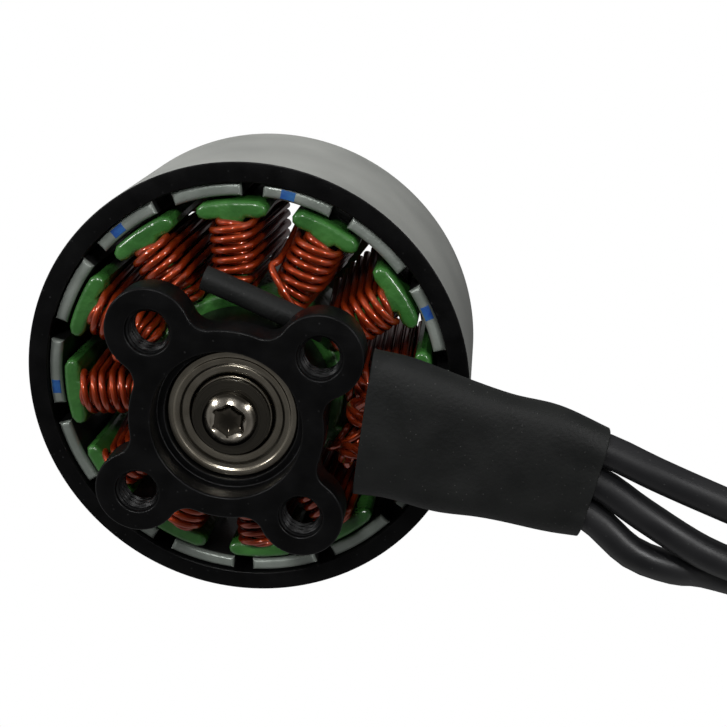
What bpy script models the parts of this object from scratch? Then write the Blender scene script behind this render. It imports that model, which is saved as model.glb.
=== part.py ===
"""Outrunner brushless motor, 32 mm bell, twelve wound teeth and fourteen magnets.

Metres, +Z up. The origin is the centre of the flat mounting face, and +Z runs along the
shaft to the propeller end. The motor stands on its mounting face, with its three leads
lying beside it on the same surface.
"""
import bmesh
import bpy
from math import acos, asin, ceil, cos, pi, radians, sin, tau
from mathutils import Matrix, Vector

# Clearances between pieces
SEAT_GAP = 0.00025
AIR_GAP = 0.00035

# Bell and its magnets
RING_WALL = 0.0015
RING_LENGTH = 0.0141
RIM_HEIGHT = 0.0080
RING_CHAMFER = 0.0003
MAGNET_COUNT = 14
MAGNET_THICKNESS = 0.0009
MAGNET_WIDTH = 0.0050
MAGNET_LENGTH = 0.0115
MAGNET_INSET = 0.0003
MAGNET_PHASE = radians(-2.7)

# Spoked cap on the propeller end
CAP_BAND_HEIGHT = 0.0012
CAP_BAND_WIDTH = 0.0019
CAP_RISE = 0.0030
CAP_WEB = 0.0017
CAP_HUB_R = 0.0049
CAP_TOP_HEIGHT = 0.0035
CAP_BOSS_R = 0.0029
SPOKE_COUNT = 6
SPOKE_WIDTH = 0.0027
VENT_CORNER_R = 0.0008
CAP_CHAMFER = 0.0004

# Shaft, its retaining screw and washer
SHAFT_R = 0.0020
PROP_THREAD_R = 0.0025
PROP_THREAD_LENGTH = 0.0125
PROP_SHOULDER_DEPTH = 0.0005
SHAFT_CHAMFER = 0.0004
SCREW_HEAD_R = 0.00185
SCREW_HEAD_HEIGHT = 0.0007
SCREW_SHANK_R = 0.0009
SCREW_SHANK_LENGTH = 0.0040
HEX_ACROSS_FLATS = 0.0015
HEX_DEPTH = 0.0004
WASHER_R = 0.0027
WASHER_THICKNESS = 0.00025

# Bearings
BEARING_WIDTH = 0.0040
BEARING_INNER_WALL = 0.00055
BEARING_SHIELD_WIDTH = 0.00065
BEARING_OUTER_WALL = 0.0008
BEARING_EDGE = 0.0002
BEARING_SHIELD_SETBACK = 0.0002
BEARING_DEPTH = 0.0024
BEARING_SHOULDER = 0.0006

# Mounting base with its four pads
PAD_COUNT = 4
PAD_CIRCLE_R = 0.0080
PAD_R = 0.0029
PAD_HOLE_R = 0.00145
PLATE_THICKNESS = 0.0026
PLATE_CHAMFER = 0.0003
WAIST_R = 0.0066
WAIST_FILLET = 0.0014
NECK_HUB_R = 0.0062
COUNTERBORE_R = 0.0051
COUNTERBORE_DEPTH = 0.0020
TUBE_WALL = 0.00075

# Laminated stator and its windings
TOOTH_COUNT = 12
TOOTH_PHASE = radians(20.9)
STACK_LENGTH = 0.0106
CORE_HUB_WALL = 0.0013
TOOTH_LENGTH = 0.00475
TOOTH_NECK_WIDTH = 0.0016
TOOTH_TIP_WIDTH = 0.0049
TIP_EDGE_THICKNESS = 0.0010
TIP_ROOT_THICKNESS = 0.0012
WIRE_R = 0.00029
TURN_PITCH = 0.00065
WIRE_SIDE_GAP = 0.0002
WIRE_END_GAP = 0.0004
WIRE_CORNER_CUT = 0.0005

# Sleeve over the winding ends, between two pads
TAIL_SLEEVE_R = 0.00085
TAIL_SLEEVE_HUB_GAP = 0.00015
TAIL_SLEEVE_START_R = 0.0090
TAIL_SLEEVE_COIL_GAP = 0.0009
TAIL_SLEEVE_END_R = 0.0080
TAIL_SLEEVE_TURNS = [radians(turn) for turn in (-111, -101, -74, -55, -48)]

# Shrunk sleeve over the joints of the three leads
SLEEVE_LENGTH = 0.0158
SLEEVE_THICKNESS = 0.0036
SLEEVE_LIFT = 0.0001
SLEEVE_START_WIDTH = 0.0103
SLEEVE_END_WIDTH = 0.0079
SLEEVE_START_Y = -0.0012
SLEEVE_END_Y = 0.0005
SLEEVE_END_SLANT = 0.075

# Leads, their coil beside the motor and its tie
LEAD_R = 0.00115
LEAD_SPACING = 0.0061
LEAD_COIL_X = 0.0575
LEAD_COIL_Y = -0.0050
LEAD_COIL_R = 0.0130
COIL_SECTION_WIDTH = 0.0074
COIL_SECTION_HEIGHT = 0.0048
TIE_THICKNESS = 0.0003
TIE_WIDTH = 0.0030
TIE_TURN = radians(-60)

# Routes of the leads from the sleeve to the coil, points chosen along each lead
LEAD_ROUTES = {
    "lead_1": [(0.02515, -0.00185, 0.0017), (0.0284, -0.00095, 0.0013), (0.0320, 0.00005, 0.0012),
               (0.0360, 0.0011, 0.0013), (0.0390, 0.0018, 0.0025), (0.0414, 0.0022, 0.0036)],
    "lead_2": [(0.02500, 0.0005, 0.0017), (0.0284, 0.0021, 0.0013), (0.0329, 0.0041, 0.0012),
               (0.0370, 0.0051, 0.0013), (0.0408, 0.0060, 0.0026), (0.0439, 0.0067, 0.0036)],
    "lead_3": [(0.02482, 0.00285, 0.0017), (0.0282, 0.0050, 0.0014), (0.0314, 0.0060, 0.0021),
               (0.0338, 0.0064, 0.0032), (0.0380, 0.0073, 0.0038), (0.0430, 0.0090, 0.0038),
               (0.0474, 0.00995, 0.0037)],
}

# Sizes that follow from those above
BEARING_BORE_R = SHAFT_R + SEAT_GAP
BEARING_INNER_LAND_R = BEARING_BORE_R + BEARING_INNER_WALL
BEARING_SHIELD_R = BEARING_INNER_LAND_R + SEAT_GAP
BEARING_OUTER_LAND_R = BEARING_SHIELD_R + BEARING_SHIELD_WIDTH
BEARING_R = BEARING_OUTER_LAND_R + BEARING_OUTER_WALL
TUBE_R = BEARING_R + SEAT_GAP + TUBE_WALL
CORE_BORE_R = TUBE_R + SEAT_GAP
CORE_HUB_R = CORE_BORE_R + CORE_HUB_WALL
TIP_R = CORE_HUB_R + TOOTH_LENGTH + TIP_ROOT_THICKNESS
MAGNET_INNER_R = TIP_R + AIR_GAP
MAGNET_OUTER_R = MAGNET_INNER_R + MAGNET_THICKNESS
RING_INNER_R = MAGNET_OUTER_R + SEAT_GAP
BELL_OUTER_R = RING_INNER_R + RING_WALL
RING_TOP = RIM_HEIGHT + RING_LENGTH
STACK_BOTTOM = RIM_HEIGHT
STACK_TOP = STACK_BOTTOM + STACK_LENGTH
CAP_BAND_BOTTOM = RING_TOP - CAP_BAND_HEIGHT
CAP_OUTER_R = RING_INNER_R - SEAT_GAP
CAP_TOP = RING_TOP + CAP_TOP_HEIGHT
UPPER_BEARING_TOP = CAP_BAND_BOTTOM - 2 * SEAT_GAP
UPPER_BEARING_BOTTOM = UPPER_BEARING_TOP - BEARING_WIDTH
TUBE_TOP = UPPER_BEARING_TOP + SEAT_GAP / 2
LOWER_BEARING_TOP = BEARING_DEPTH + BEARING_WIDTH
SHAFT_BOTTOM = BEARING_DEPTH
PROP_SHOULDER = CAP_TOP - PROP_SHOULDER_DEPTH
WASHER_TOP = SHAFT_BOTTOM - SEAT_GAP
SCREW_SEAT = WASHER_TOP - WASHER_THICKNESS - SEAT_GAP
COIL_END = WIRE_END_GAP + 2 * WIRE_R
SLEEVE_START = PAD_CIRCLE_R * cos(pi / PAD_COUNT) + PAD_R + SEAT_GAP
LEAD_COIL_BOTTOM = TIE_THICKNESS + SEAT_GAP
LEAD_COIL_TOP = LEAD_COIL_BOTTOM + COIL_SECTION_HEIGHT

# Facets of large and small round pieces, of the coiled leads, and of short arcs
ROUND_STEPS = 36
SMALL_STEPS = 20
COIL_STEPS = 30
PAD_STEPS = 14
PAD_HOLE_STEPS = 16
TIP_STEPS = 6
FILLET_STEPS = 3
ROUTE_STEPS = 24

# Length by which a cutter passes the faces that it opens
CUTTER_REACH = 0.0020


def clear_scene():
    """Remove every object that the opened file holds."""
    for item in list(bpy.data.objects):
        bpy.data.objects.remove(item, do_unlink=True)


def new_collection(name):
    """Make a collection in the scene."""
    collection = bpy.data.collections.new(name)
    bpy.context.scene.collection.children.link(collection)
    return collection


def principled(name, colour, roughness, metallic):
    """Make a plain material of one colour."""
    material = bpy.data.materials.new(name)
    material.use_nodes = True
    shader = material.node_tree.nodes["Principled BSDF"]
    shader.inputs["Base Color"].default_value = (*colour, 1.0)
    shader.inputs["Roughness"].default_value = roughness
    shader.inputs["Metallic"].default_value = metallic
    material.diffuse_color = (*colour, 1.0)
    return material


def add_object(name, data, material, parent=None):
    """Link an object to the motor's collection and give it its material."""
    item = bpy.data.objects.new(name, data)
    motor.objects.link(item)
    if material is not None and not data.materials:
        data.materials.append(material)
    item.parent = parent
    return item


def make_cutter(item):
    """Turn an object into a cutter that the model doesn't show."""
    motor.objects.unlink(item)
    cutters.objects.link(item)
    item.hide_render = True
    item.display_type = "WIRE"
    return item


def boolean(item, other, operation):
    """Cut or join with an exact Boolean."""
    modifier = item.modifiers.new(operation.title(), "BOOLEAN")
    modifier.operation = operation
    modifier.solver = "EXACT"
    modifier.object = other


def shade(mesh, angle=radians(35)):
    """Shade a round piece smooth and keep its sharp edges."""
    mesh.shade_smooth()
    mesh.set_sharp_from_angle(angle=angle)


def lathe(name, profile, material, steps=ROUND_STEPS, parent=None, closed=True):
    """Turn a profile of (radius, height) points about Z, given down its outer side."""
    mesh = bpy.data.meshes.new(name)
    points = [(radius, 0.0, height) for radius, height in profile]
    edges = [(i, i + 1) for i in range(len(points) - 1)]
    if closed:
        edges.append((len(points) - 1, 0))
    mesh.from_pydata(points, edges, [])
    item = add_object(name, mesh, material, parent)
    screw = item.modifiers.new("Turn", "SCREW")
    screw.axis = "Z"
    screw.angle = tau
    screw.steps = steps
    screw.render_steps = steps
    screw.use_merge_vertices = True
    screw.merge_threshold = 0.00001
    screw.use_smooth_shade = True
    return item


def arc(centre, radius, start, end, count):
    """List points of an arc, its two ends included."""
    cx, cy = centre
    step = (end - start) / count
    return [(cx + radius * cos(start + step * i), cy + radius * sin(start + step * i))
            for i in range(count + 1)]


def circle(centre, radius, count):
    """List points of a full circle."""
    return arc(centre, radius, 0.0, tau, count)[:-1]


def curve_mesh(name, curve, material, parent=None):
    """Make a curve a mesh with its caps welded."""
    holder = bpy.data.objects.new(name + "_curve", curve)
    motor.objects.link(holder)
    graph = bpy.context.evaluated_depsgraph_get()
    mesh = bpy.data.meshes.new_from_object(holder.evaluated_get(graph))
    bpy.data.objects.remove(holder, do_unlink=True)
    welded = bmesh.new()
    welded.from_mesh(mesh)
    bmesh.ops.remove_doubles(welded, verts=welded.verts, dist=0.000001)
    welded.to_mesh(mesh)
    welded.free()
    mesh.name = name
    mesh.materials.clear()
    return add_object(name, mesh, material, parent)


def plate(name, outlines, bottom, top, material, chamfer=0.0, parent=None):
    """Extrude flat outlines, with holes where one lies inside another."""
    curve = bpy.data.curves.new(name, "CURVE")
    curve.dimensions = "2D"
    curve.fill_mode = "BOTH"
    curve.extrude = (top - bottom) / 2 - chamfer
    curve.bevel_depth = chamfer
    curve.bevel_resolution = 0
    curve.offset = -chamfer
    for outline in outlines:
        spline = curve.splines.new("POLY")
        spline.points.add(len(outline) - 1)
        for point, (x, y) in zip(spline.points, outline):
            point.co = (x, y, 0.0, 1.0)
        spline.use_cyclic_u = True
    item = curve_mesh(name, curve, material, parent)
    item.data.transform(Matrix.Translation((0.0, 0.0, (top + bottom) / 2)))
    return item


def wire(name, points, radius, material, resolution=2, parent=None):
    """Sweep a round wire along a list of points."""
    curve = bpy.data.curves.new(name, "CURVE")
    curve.dimensions = "3D"
    curve.bevel_depth = radius
    curve.bevel_resolution = resolution
    curve.use_fill_caps = True
    spline = curve.splines.new("POLY")
    spline.points.add(len(points) - 1)
    for point, place in zip(spline.points, points):
        point.co = (*place, 1.0)
    item = curve_mesh(name, curve, material, parent)
    shade(item.data, radians(50))
    return item


def smooth_route(knots, spacing):
    """Read evenly spaced points from a smooth curve through the knots."""
    knots = [Vector(knot) for knot in knots]
    ends = [2 * knots[0] - knots[1], 2 * knots[-1] - knots[-2]]
    padded = [ends[0], *knots, ends[1]]
    fine = []
    for a, b, c, d in zip(padded, padded[1:], padded[2:], padded[3:]):
        for i in range(ROUTE_STEPS):
            t = i / ROUTE_STEPS
            fine.append(0.5 * (2 * b + (c - a) * t + (2 * a - 5 * b + 4 * c - d) * t * t
                               + (3 * b - a - 3 * c + d) * t ** 3))
    fine.append(knots[-1])
    lengths = [0.0]
    for a, b in zip(fine, fine[1:]):
        lengths.append(lengths[-1] + (b - a).length)
    count = max(2, ceil(lengths[-1] / spacing))
    route = []
    place = 0
    for i in range(count + 1):
        target = lengths[-1] * i / count
        while place < len(fine) - 2 and lengths[place + 1] < target:
            place += 1
        share = (target - lengths[place]) / (lengths[place + 1] - lengths[place])
        route.append(fine[place].lerp(fine[place + 1], share))
    return route


def build_mount_base():
    """Cast base: four pads round a waist, a hub and the bearing tube, bored through."""
    reach = WAIST_R + WAIST_FILLET
    side = PAD_R + WAIST_FILLET
    spread = acos((reach ** 2 + PAD_CIRCLE_R ** 2 - side ** 2) / (2 * reach * PAD_CIRCLE_R))
    lean = acos((side ** 2 + PAD_CIRCLE_R ** 2 - reach ** 2) / (2 * side * PAD_CIRCLE_R))
    outline = []
    holes = []
    for i in range(PAD_COUNT):
        turn = (i + 0.5) * tau / PAD_COUNT
        pad = (PAD_CIRCLE_R * cos(turn), PAD_CIRCLE_R * sin(turn))
        before = (reach * cos(turn - spread), reach * sin(turn - spread))
        after = (reach * cos(turn + spread), reach * sin(turn + spread))
        outline += arc(before, WAIST_FILLET, turn - spread + pi, turn + lean, FILLET_STEPS)
        outline += arc(pad, PAD_R, turn - pi + lean, turn + pi - lean, PAD_STEPS)
        outline += arc(after, WAIST_FILLET, turn - lean, turn + spread - pi, FILLET_STEPS)
        waist_end = turn + tau / PAD_COUNT - spread
        outline += arc((0.0, 0.0), WAIST_R, turn + spread, waist_end, 4)[1:-1]
        holes.append(circle(pad, PAD_HOLE_R, PAD_HOLE_STEPS))
    base = plate("mount_base", [outline, *holes], 0.0, PLATE_THICKNESS, BLACK_ALLOY, PLATE_CHAMFER)
    hub = lathe("mount_hub", [(0.0, TUBE_TOP), (TUBE_R, TUBE_TOP),
                              (TUBE_R, STACK_BOTTOM - SEAT_GAP), (NECK_HUB_R, STACK_BOTTOM - SEAT_GAP),
                              (NECK_HUB_R, PLATE_THICKNESS / 2), (0.0, PLATE_THICKNESS / 2)],
                BLACK_ALLOY, closed=False)
    seat_r = BEARING_R + SEAT_GAP
    middle_r = BEARING_R - BEARING_SHOULDER
    lower_seat = LOWER_BEARING_TOP + SEAT_GAP
    upper_seat = UPPER_BEARING_BOTTOM - SEAT_GAP
    bore = lathe("mount_bore", [(0.0, TUBE_TOP + CUTTER_REACH), (seat_r, TUBE_TOP + CUTTER_REACH),
                                (seat_r, upper_seat), (middle_r, upper_seat),
                                (middle_r, lower_seat), (seat_r, lower_seat),
                                (seat_r, COUNTERBORE_DEPTH), (COUNTERBORE_R, COUNTERBORE_DEPTH),
                                (COUNTERBORE_R, PLATE_CHAMFER),
                                (COUNTERBORE_R + PLATE_CHAMFER + CUTTER_REACH, -CUTTER_REACH),
                                (0.0, -CUTTER_REACH)],
                 None, closed=False)
    boolean(base, make_cutter(hub), "UNION")
    boolean(base, make_cutter(bore), "DIFFERENCE")


def build_bearing(name, bottom):
    """Shielded ball bearing: outer race with its two shields, and the inner race."""
    top = bottom + BEARING_WIDTH
    shield_bottom = bottom + BEARING_SHIELD_SETBACK
    shield_top = top - BEARING_SHIELD_SETBACK
    lathe(name + "_outer_race", [(BEARING_R - BEARING_EDGE, top), (BEARING_R, top - BEARING_EDGE),
                                 (BEARING_R, bottom + BEARING_EDGE), (BEARING_R - BEARING_EDGE, bottom),
                                 (BEARING_OUTER_LAND_R, bottom), (BEARING_OUTER_LAND_R, shield_bottom),
                                 (BEARING_SHIELD_R, shield_bottom), (BEARING_SHIELD_R, shield_top),
                                 (BEARING_OUTER_LAND_R, shield_top), (BEARING_OUTER_LAND_R, top)],
          BEARING_STEEL, SMALL_STEPS)
    land = BEARING_INNER_LAND_R
    lathe(name + "_inner_race", [(land - BEARING_EDGE, top), (land, top - BEARING_EDGE),
                                 (land, bottom + BEARING_EDGE), (land - BEARING_EDGE, bottom),
                                 (BEARING_BORE_R, bottom), (BEARING_BORE_R, top)],
          BEARING_STEEL, SMALL_STEPS)


def build_stator_core():
    """Coated lamination stack: a hub ring with twelve T-shaped teeth."""
    neck = TOOTH_NECK_WIDTH / 2
    tip_turn = asin(TOOTH_TIP_WIDTH / 2 / TIP_R)
    root_turn = asin(neck / CORE_HUB_R)
    under_r = TIP_R - TIP_ROOT_THICKNESS
    edge_r = TIP_R - TIP_EDGE_THICKNESS
    spacing = tau / TOOTH_COUNT
    outline = []
    for i in range(TOOTH_COUNT):
        turn = TOOTH_PHASE + i * spacing
        along = Vector((cos(turn), sin(turn)))
        across = Vector((-sin(turn), cos(turn)))
        outline.append(along * CORE_HUB_R * cos(root_turn) - across * neck)
        outline.append(along * under_r - across * neck)
        outline.append(along * edge_r * cos(tip_turn) - across * edge_r * sin(tip_turn))
        outline += [Vector(p) for p in arc((0.0, 0.0), TIP_R, turn - tip_turn, turn + tip_turn,
                                              TIP_STEPS)]
        outline.append(along * edge_r * cos(tip_turn) + across * edge_r * sin(tip_turn))
        outline.append(along * under_r + across * neck)
        outline.append(along * CORE_HUB_R * cos(root_turn) + across * neck)
        slot = arc((0.0, 0.0), CORE_HUB_R, turn + root_turn, turn + spacing - root_turn, 4)
        outline += [Vector(p) for p in slot[1:-1]]
    plate("stator_core", [outline, circle((0.0, 0.0), CORE_BORE_R, ROUND_STEPS)],
          STACK_BOTTOM, STACK_TOP, COATED_LAMINATION)


def build_windings():
    """One coil of enamelled wire wound round each tooth, a single neat layer."""
    inner_r = CORE_HUB_R + SEAT_GAP + WIRE_R
    outer_r = TIP_R - TIP_ROOT_THICKNESS - SEAT_GAP - WIRE_R
    turns = int((outer_r - inner_r) / TURN_PITCH)
    side = TOOTH_NECK_WIDTH / 2 + WIRE_SIDE_GAP + WIRE_R
    end = STACK_LENGTH / 2 + WIRE_END_GAP + WIRE_R
    middle = (STACK_BOTTOM + STACK_TOP) / 2
    corner = [(side, end - WIRE_CORNER_CUT), (side - WIRE_CORNER_CUT, end)]
    loop = corner + [(-y, z) for y, z in reversed(corner)]
    loop += [(-y, -z) for y, z in loop]
    points = []
    for i in range(turns * len(loop) + 1):
        y, z = loop[i % len(loop)]
        points.append((outer_r - TURN_PITCH * i / len(loop), y, z))
    first = wire("coil_01", points, WIRE_R, COPPER, resolution=1)
    for i in range(TOOTH_COUNT):
        coil = first
        if i > 0:
            coil = add_object(f"coil_{i + 1:02d}", first.data, COPPER)
        coil.location = (0.0, 0.0, middle)
        coil.rotation_euler = (0.0, 0.0, TOOTH_PHASE + i * tau / TOOTH_COUNT)


def build_flux_ring():
    """Steel tube of the bell, grey outside, open towards the mounting face."""
    lathe("flux_ring", [(RING_INNER_R + RING_CHAMFER, RING_TOP), (BELL_OUTER_R - RING_CHAMFER, RING_TOP),
                        (BELL_OUTER_R, RING_TOP - RING_CHAMFER), (BELL_OUTER_R, RIM_HEIGHT + RING_CHAMFER),
                        (BELL_OUTER_R - RING_CHAMFER, RIM_HEIGHT), (RING_INNER_R, RIM_HEIGHT),
                        (RING_INNER_R, RING_TOP - RING_CHAMFER)],
          RING_GREY, parent=rotor)


def build_magnets():
    """Curved bar magnets bonded inside the ring."""
    half = asin(MAGNET_WIDTH / 2 / MAGNET_OUTER_R)
    outline = arc((0.0, 0.0), MAGNET_OUTER_R, -half, half, 5)
    outline += arc((0.0, 0.0), MAGNET_INNER_R, half, -half, 5)
    bottom = RIM_HEIGHT + MAGNET_INSET
    first = plate("magnet_01", [outline], bottom, bottom + MAGNET_LENGTH, MAGNET_NICKEL, parent=rotor)
    for i in range(MAGNET_COUNT):
        magnet = first
        if i > 0:
            magnet = add_object(f"magnet_{i + 1:02d}", first.data, MAGNET_NICKEL, rotor)
        magnet.rotation_euler = (0.0, 0.0, MAGNET_PHASE + i * tau / MAGNET_COUNT)


def build_bell_cap():
    """Turned spider of the bell: band, spokes and hub, with vents between the spokes."""
    bore_r = BEARING_BORE_R
    thread_bore_r = PROP_THREAD_R + SEAT_GAP
    band_inner_r = CAP_OUTER_R - CAP_BAND_WIDTH
    web_top = RING_TOP + CAP_RISE
    web_bottom = web_top - CAP_WEB
    boss_bottom = UPPER_BEARING_TOP + SEAT_GAP
    boss_top = boss_bottom + 2 * CAP_CHAMFER
    cap = lathe("bell_cap", [(CAP_HUB_R - CAP_CHAMFER, CAP_TOP), (CAP_HUB_R, CAP_TOP - CAP_CHAMFER),
                             (CAP_HUB_R + CAP_CHAMFER, web_top),
                             (band_inner_r + 2 * CAP_CHAMFER, RING_TOP + CAP_CHAMFER),
                             (CAP_OUTER_R - CAP_CHAMFER, RING_TOP), (CAP_OUTER_R, RING_TOP - CAP_CHAMFER),
                             (CAP_OUTER_R, CAP_BAND_BOTTOM), (band_inner_r, CAP_BAND_BOTTOM),
                             (band_inner_r - CAP_CHAMFER, CAP_BAND_BOTTOM + CAP_CHAMFER),
                             (CAP_HUB_R - CAP_CHAMFER, web_bottom), (CAP_BOSS_R, boss_top),
                             (CAP_BOSS_R, boss_bottom), (bore_r, boss_bottom), (bore_r, PROP_SHOULDER),
                             (thread_bore_r, PROP_SHOULDER), (thread_bore_r, CAP_TOP)],
                BELL_ALLOY, parent=rotor)
    inner_r = CAP_HUB_R + 2 * CAP_CHAMFER + VENT_CORNER_R
    outer_r = band_inner_r - CAP_CHAMFER - VENT_CORNER_R
    half = pi / SPOKE_COUNT
    inner_turn = half - asin((SPOKE_WIDTH / 2 + VENT_CORNER_R) / inner_r)
    outer_turn = half - asin((SPOKE_WIDTH / 2 + VENT_CORNER_R) / outer_r)
    vents = []
    for i in range(SPOKE_COUNT):
        turn = (i + 0.5) * tau / SPOKE_COUNT
        flanks = []
        for side in (1, -1):
            inner = (inner_r * cos(turn + side * inner_turn), inner_r * sin(turn + side * inner_turn))
            outer = (outer_r * cos(turn + side * outer_turn), outer_r * sin(turn + side * outer_turn))
            square = turn + side * (half + pi / 2)
            flank = arc(inner, VENT_CORNER_R, turn + side * (inner_turn + pi), square,
                        FILLET_STEPS)
            flank += arc(outer, VENT_CORNER_R, square, turn + side * outer_turn, FILLET_STEPS)
            flanks.append(flank)
        rim = arc((0.0, 0.0), outer_r + VENT_CORNER_R, turn + outer_turn, turn - outer_turn, 4)
        vents.append(flanks[0] + rim[1:-1] + flanks[1][::-1])
    vent = plate("cap_vents", vents, CAP_BAND_BOTTOM - CAP_CHAMFER, CAP_TOP + CAP_CHAMFER, None,
                 parent=rotor)
    boolean(cap, make_cutter(vent), "DIFFERENCE")


def build_shaft():
    """Steel shaft: journal in the bearings, a shoulder on the hub and the propeller thread."""
    top = CAP_TOP + PROP_THREAD_LENGTH
    shoulder = PROP_SHOULDER + SEAT_GAP
    hole_r = SCREW_SHANK_R + SEAT_GAP
    hole_top = SHAFT_BOTTOM + SCREW_SHANK_LENGTH
    lathe("shaft", [(0.0, top), (PROP_THREAD_R - SHAFT_CHAMFER, top),
                    (PROP_THREAD_R, top - SHAFT_CHAMFER), (PROP_THREAD_R, shoulder),
                    (SHAFT_R, shoulder), (SHAFT_R, SHAFT_BOTTOM + SHAFT_CHAMFER),
                    (SHAFT_R - SHAFT_CHAMFER, SHAFT_BOTTOM), (hole_r, SHAFT_BOTTOM),
                    (hole_r, hole_top), (0.0, hole_top)],
          SCREW_STEEL, SMALL_STEPS, rotor, closed=False)


def build_retainer():
    """Button head screw in the shaft's end, on a washer that holds the inner race."""
    lathe("retaining_washer", [(WASHER_R, WASHER_TOP), (WASHER_R, WASHER_TOP - WASHER_THICKNESS),
                               (SCREW_SHANK_R + SEAT_GAP, WASHER_TOP - WASHER_THICKNESS),
                               (SCREW_SHANK_R + SEAT_GAP, WASHER_TOP)],
          SCREW_STEEL, SMALL_STEPS, rotor)
    face = SCREW_SEAT - SCREW_HEAD_HEIGHT
    flat_r = HEX_ACROSS_FLATS / 2 ** 0.5
    crown_r = SCREW_HEAD_R - flat_r
    shank_top = SCREW_SEAT + SCREW_SHANK_LENGTH
    profile = [(0.0, shank_top), (SCREW_SHANK_R, shank_top), (SCREW_SHANK_R, SCREW_SEAT),
               (SCREW_HEAD_R, SCREW_SEAT)]
    profile += [(flat_r + crown_r * cos(i * pi / 8), SCREW_SEAT - SCREW_HEAD_HEIGHT * sin(i * pi / 8))
                for i in range(1, 4)]
    profile += [(flat_r, face), (0.0, face)]
    screw = lathe("retaining_screw", profile, SCREW_STEEL, SMALL_STEPS, rotor, closed=False)
    socket = bpy.data.meshes.new("hex_socket")
    shape = bmesh.new()
    place = Matrix.Translation((0.0, 0.0, face))
    corner_r = HEX_ACROSS_FLATS / 3 ** 0.5
    bmesh.ops.create_cone(shape, cap_ends=True, segments=6, radius1=corner_r, radius2=corner_r,
                          depth=2 * HEX_DEPTH, matrix=place)
    shape.to_mesh(socket)
    shape.free()
    boolean(screw, make_cutter(add_object("hex_socket", socket, None, rotor)), "DIFFERENCE")


def build_tail_sleeve():
    """Thin sleeve over the joined winding ends, tucked under the plate beside the hub."""
    under_coils = STACK_BOTTOM - COIL_END - TAIL_SLEEVE_COIL_GAP - TAIL_SLEEVE_R
    beside_hub = NECK_HUB_R + TAIL_SLEEVE_R + TAIL_SLEEVE_HUB_GAP
    start_r = (TAIL_SLEEVE_START_R + beside_hub) / 2
    end_r = (TAIL_SLEEVE_END_R + beside_hub) / 2
    radii = [TAIL_SLEEVE_START_R, start_r, beside_hub, end_r, TAIL_SLEEVE_END_R]
    knots = [(radius * cos(turn), radius * sin(turn), under_coils)
             for radius, turn in zip(radii, TAIL_SLEEVE_TURNS)]
    wire("winding_tail_sleeve", smooth_route(knots, 3 * TAIL_SLEEVE_R), TAIL_SLEEVE_R, SHRINK_BLACK)


def build_lead_sleeve():
    """Flattened shrunk sleeve that gathers the three leads, wider at the motor."""
    mesh = bpy.data.meshes.new("lead_sleeve")
    shape = bmesh.new()
    bmesh.ops.create_cone(shape, cap_ends=True, segments=20, radius1=1.0, radius2=1.0, depth=1.0)
    for i in range(1, 5):
        bmesh.ops.bisect_plane(shape, geom=shape.verts[:] + shape.edges[:] + shape.faces[:],
                               plane_co=(0.0, 0.0, i / 5 - 0.5), plane_no=(0.0, 0.0, 1.0))
    for vert in shape.verts:
        share = vert.co.z + 0.5
        half_width = (SLEEVE_START_WIDTH + (SLEEVE_END_WIDTH - SLEEVE_START_WIDTH) * share) / 2
        centre_y = SLEEVE_START_Y + (SLEEVE_END_Y - SLEEVE_START_Y) * share
        y = half_width * abs(vert.co.y) ** 0.6 * (1 if vert.co.y > 0 else -1)
        z = SLEEVE_THICKNESS / 2 * abs(vert.co.x) ** 0.7 * (1 if vert.co.x > 0 else -1)
        x = SLEEVE_START + SLEEVE_LENGTH * share - SLEEVE_END_SLANT * share * y
        vert.co = (x, centre_y + y, SLEEVE_LIFT + SLEEVE_THICKNESS / 2 - z)
    shape.normal_update()
    bmesh.ops.recalc_face_normals(shape, faces=shape.faces)
    shape.to_mesh(mesh)
    shape.free()
    shade(mesh)
    add_object("lead_sleeve", mesh, SHRINK_BLACK)


def build_leads():
    """Three flexible leads laid beside the motor, their far lengths in one coil with a tie."""
    for name, route in LEAD_ROUTES.items():
        wire(name, smooth_route(route, LEAD_SPACING), LEAD_R, LEAD_BLACK)
    half = COIL_SECTION_WIDTH / 2
    ease = LEAD_R
    coil = lathe("lead_coil", [(LEAD_COIL_R + half - ease, LEAD_COIL_TOP),
                               (LEAD_COIL_R + half, LEAD_COIL_TOP - ease),
                               (LEAD_COIL_R + half, LEAD_COIL_BOTTOM + ease),
                               (LEAD_COIL_R + half - ease, LEAD_COIL_BOTTOM),
                               (LEAD_COIL_R - half + ease, LEAD_COIL_BOTTOM),
                               (LEAD_COIL_R - half, LEAD_COIL_BOTTOM + ease),
                               (LEAD_COIL_R - half, LEAD_COIL_TOP - ease),
                               (LEAD_COIL_R - half + ease, LEAD_COIL_TOP)],
                 LEAD_BLACK, COIL_STEPS)
    coil.location = (LEAD_COIL_X, LEAD_COIL_Y, 0.0)
    inner_x = half + SEAT_GAP
    inner_y = COIL_SECTION_HEIGHT / 2 + SEAT_GAP
    outer_x = inner_x + TIE_THICKNESS
    outer_y = inner_y + TIE_THICKNESS
    loops = [[(-x, -y), (x, -y), (x, y), (-x, y)] for x, y in ((outer_x, outer_y), (inner_x, inner_y))]
    tie = plate("lead_tie", loops, -TIE_WIDTH / 2, TIE_WIDTH / 2, TIE_BLACK)
    spot = Vector((LEAD_COIL_R * cos(TIE_TURN), LEAD_COIL_R * sin(TIE_TURN), 0.0))
    middle = Vector((LEAD_COIL_X, LEAD_COIL_Y, (LEAD_COIL_BOTTOM + LEAD_COIL_TOP) / 2))
    tie.location = middle + spot
    tie.rotation_euler = (pi / 2, 0.0, TIE_TURN)


clear_scene()
motor = new_collection("brushless_dc_motor")
cutters = new_collection("cutters")

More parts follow.
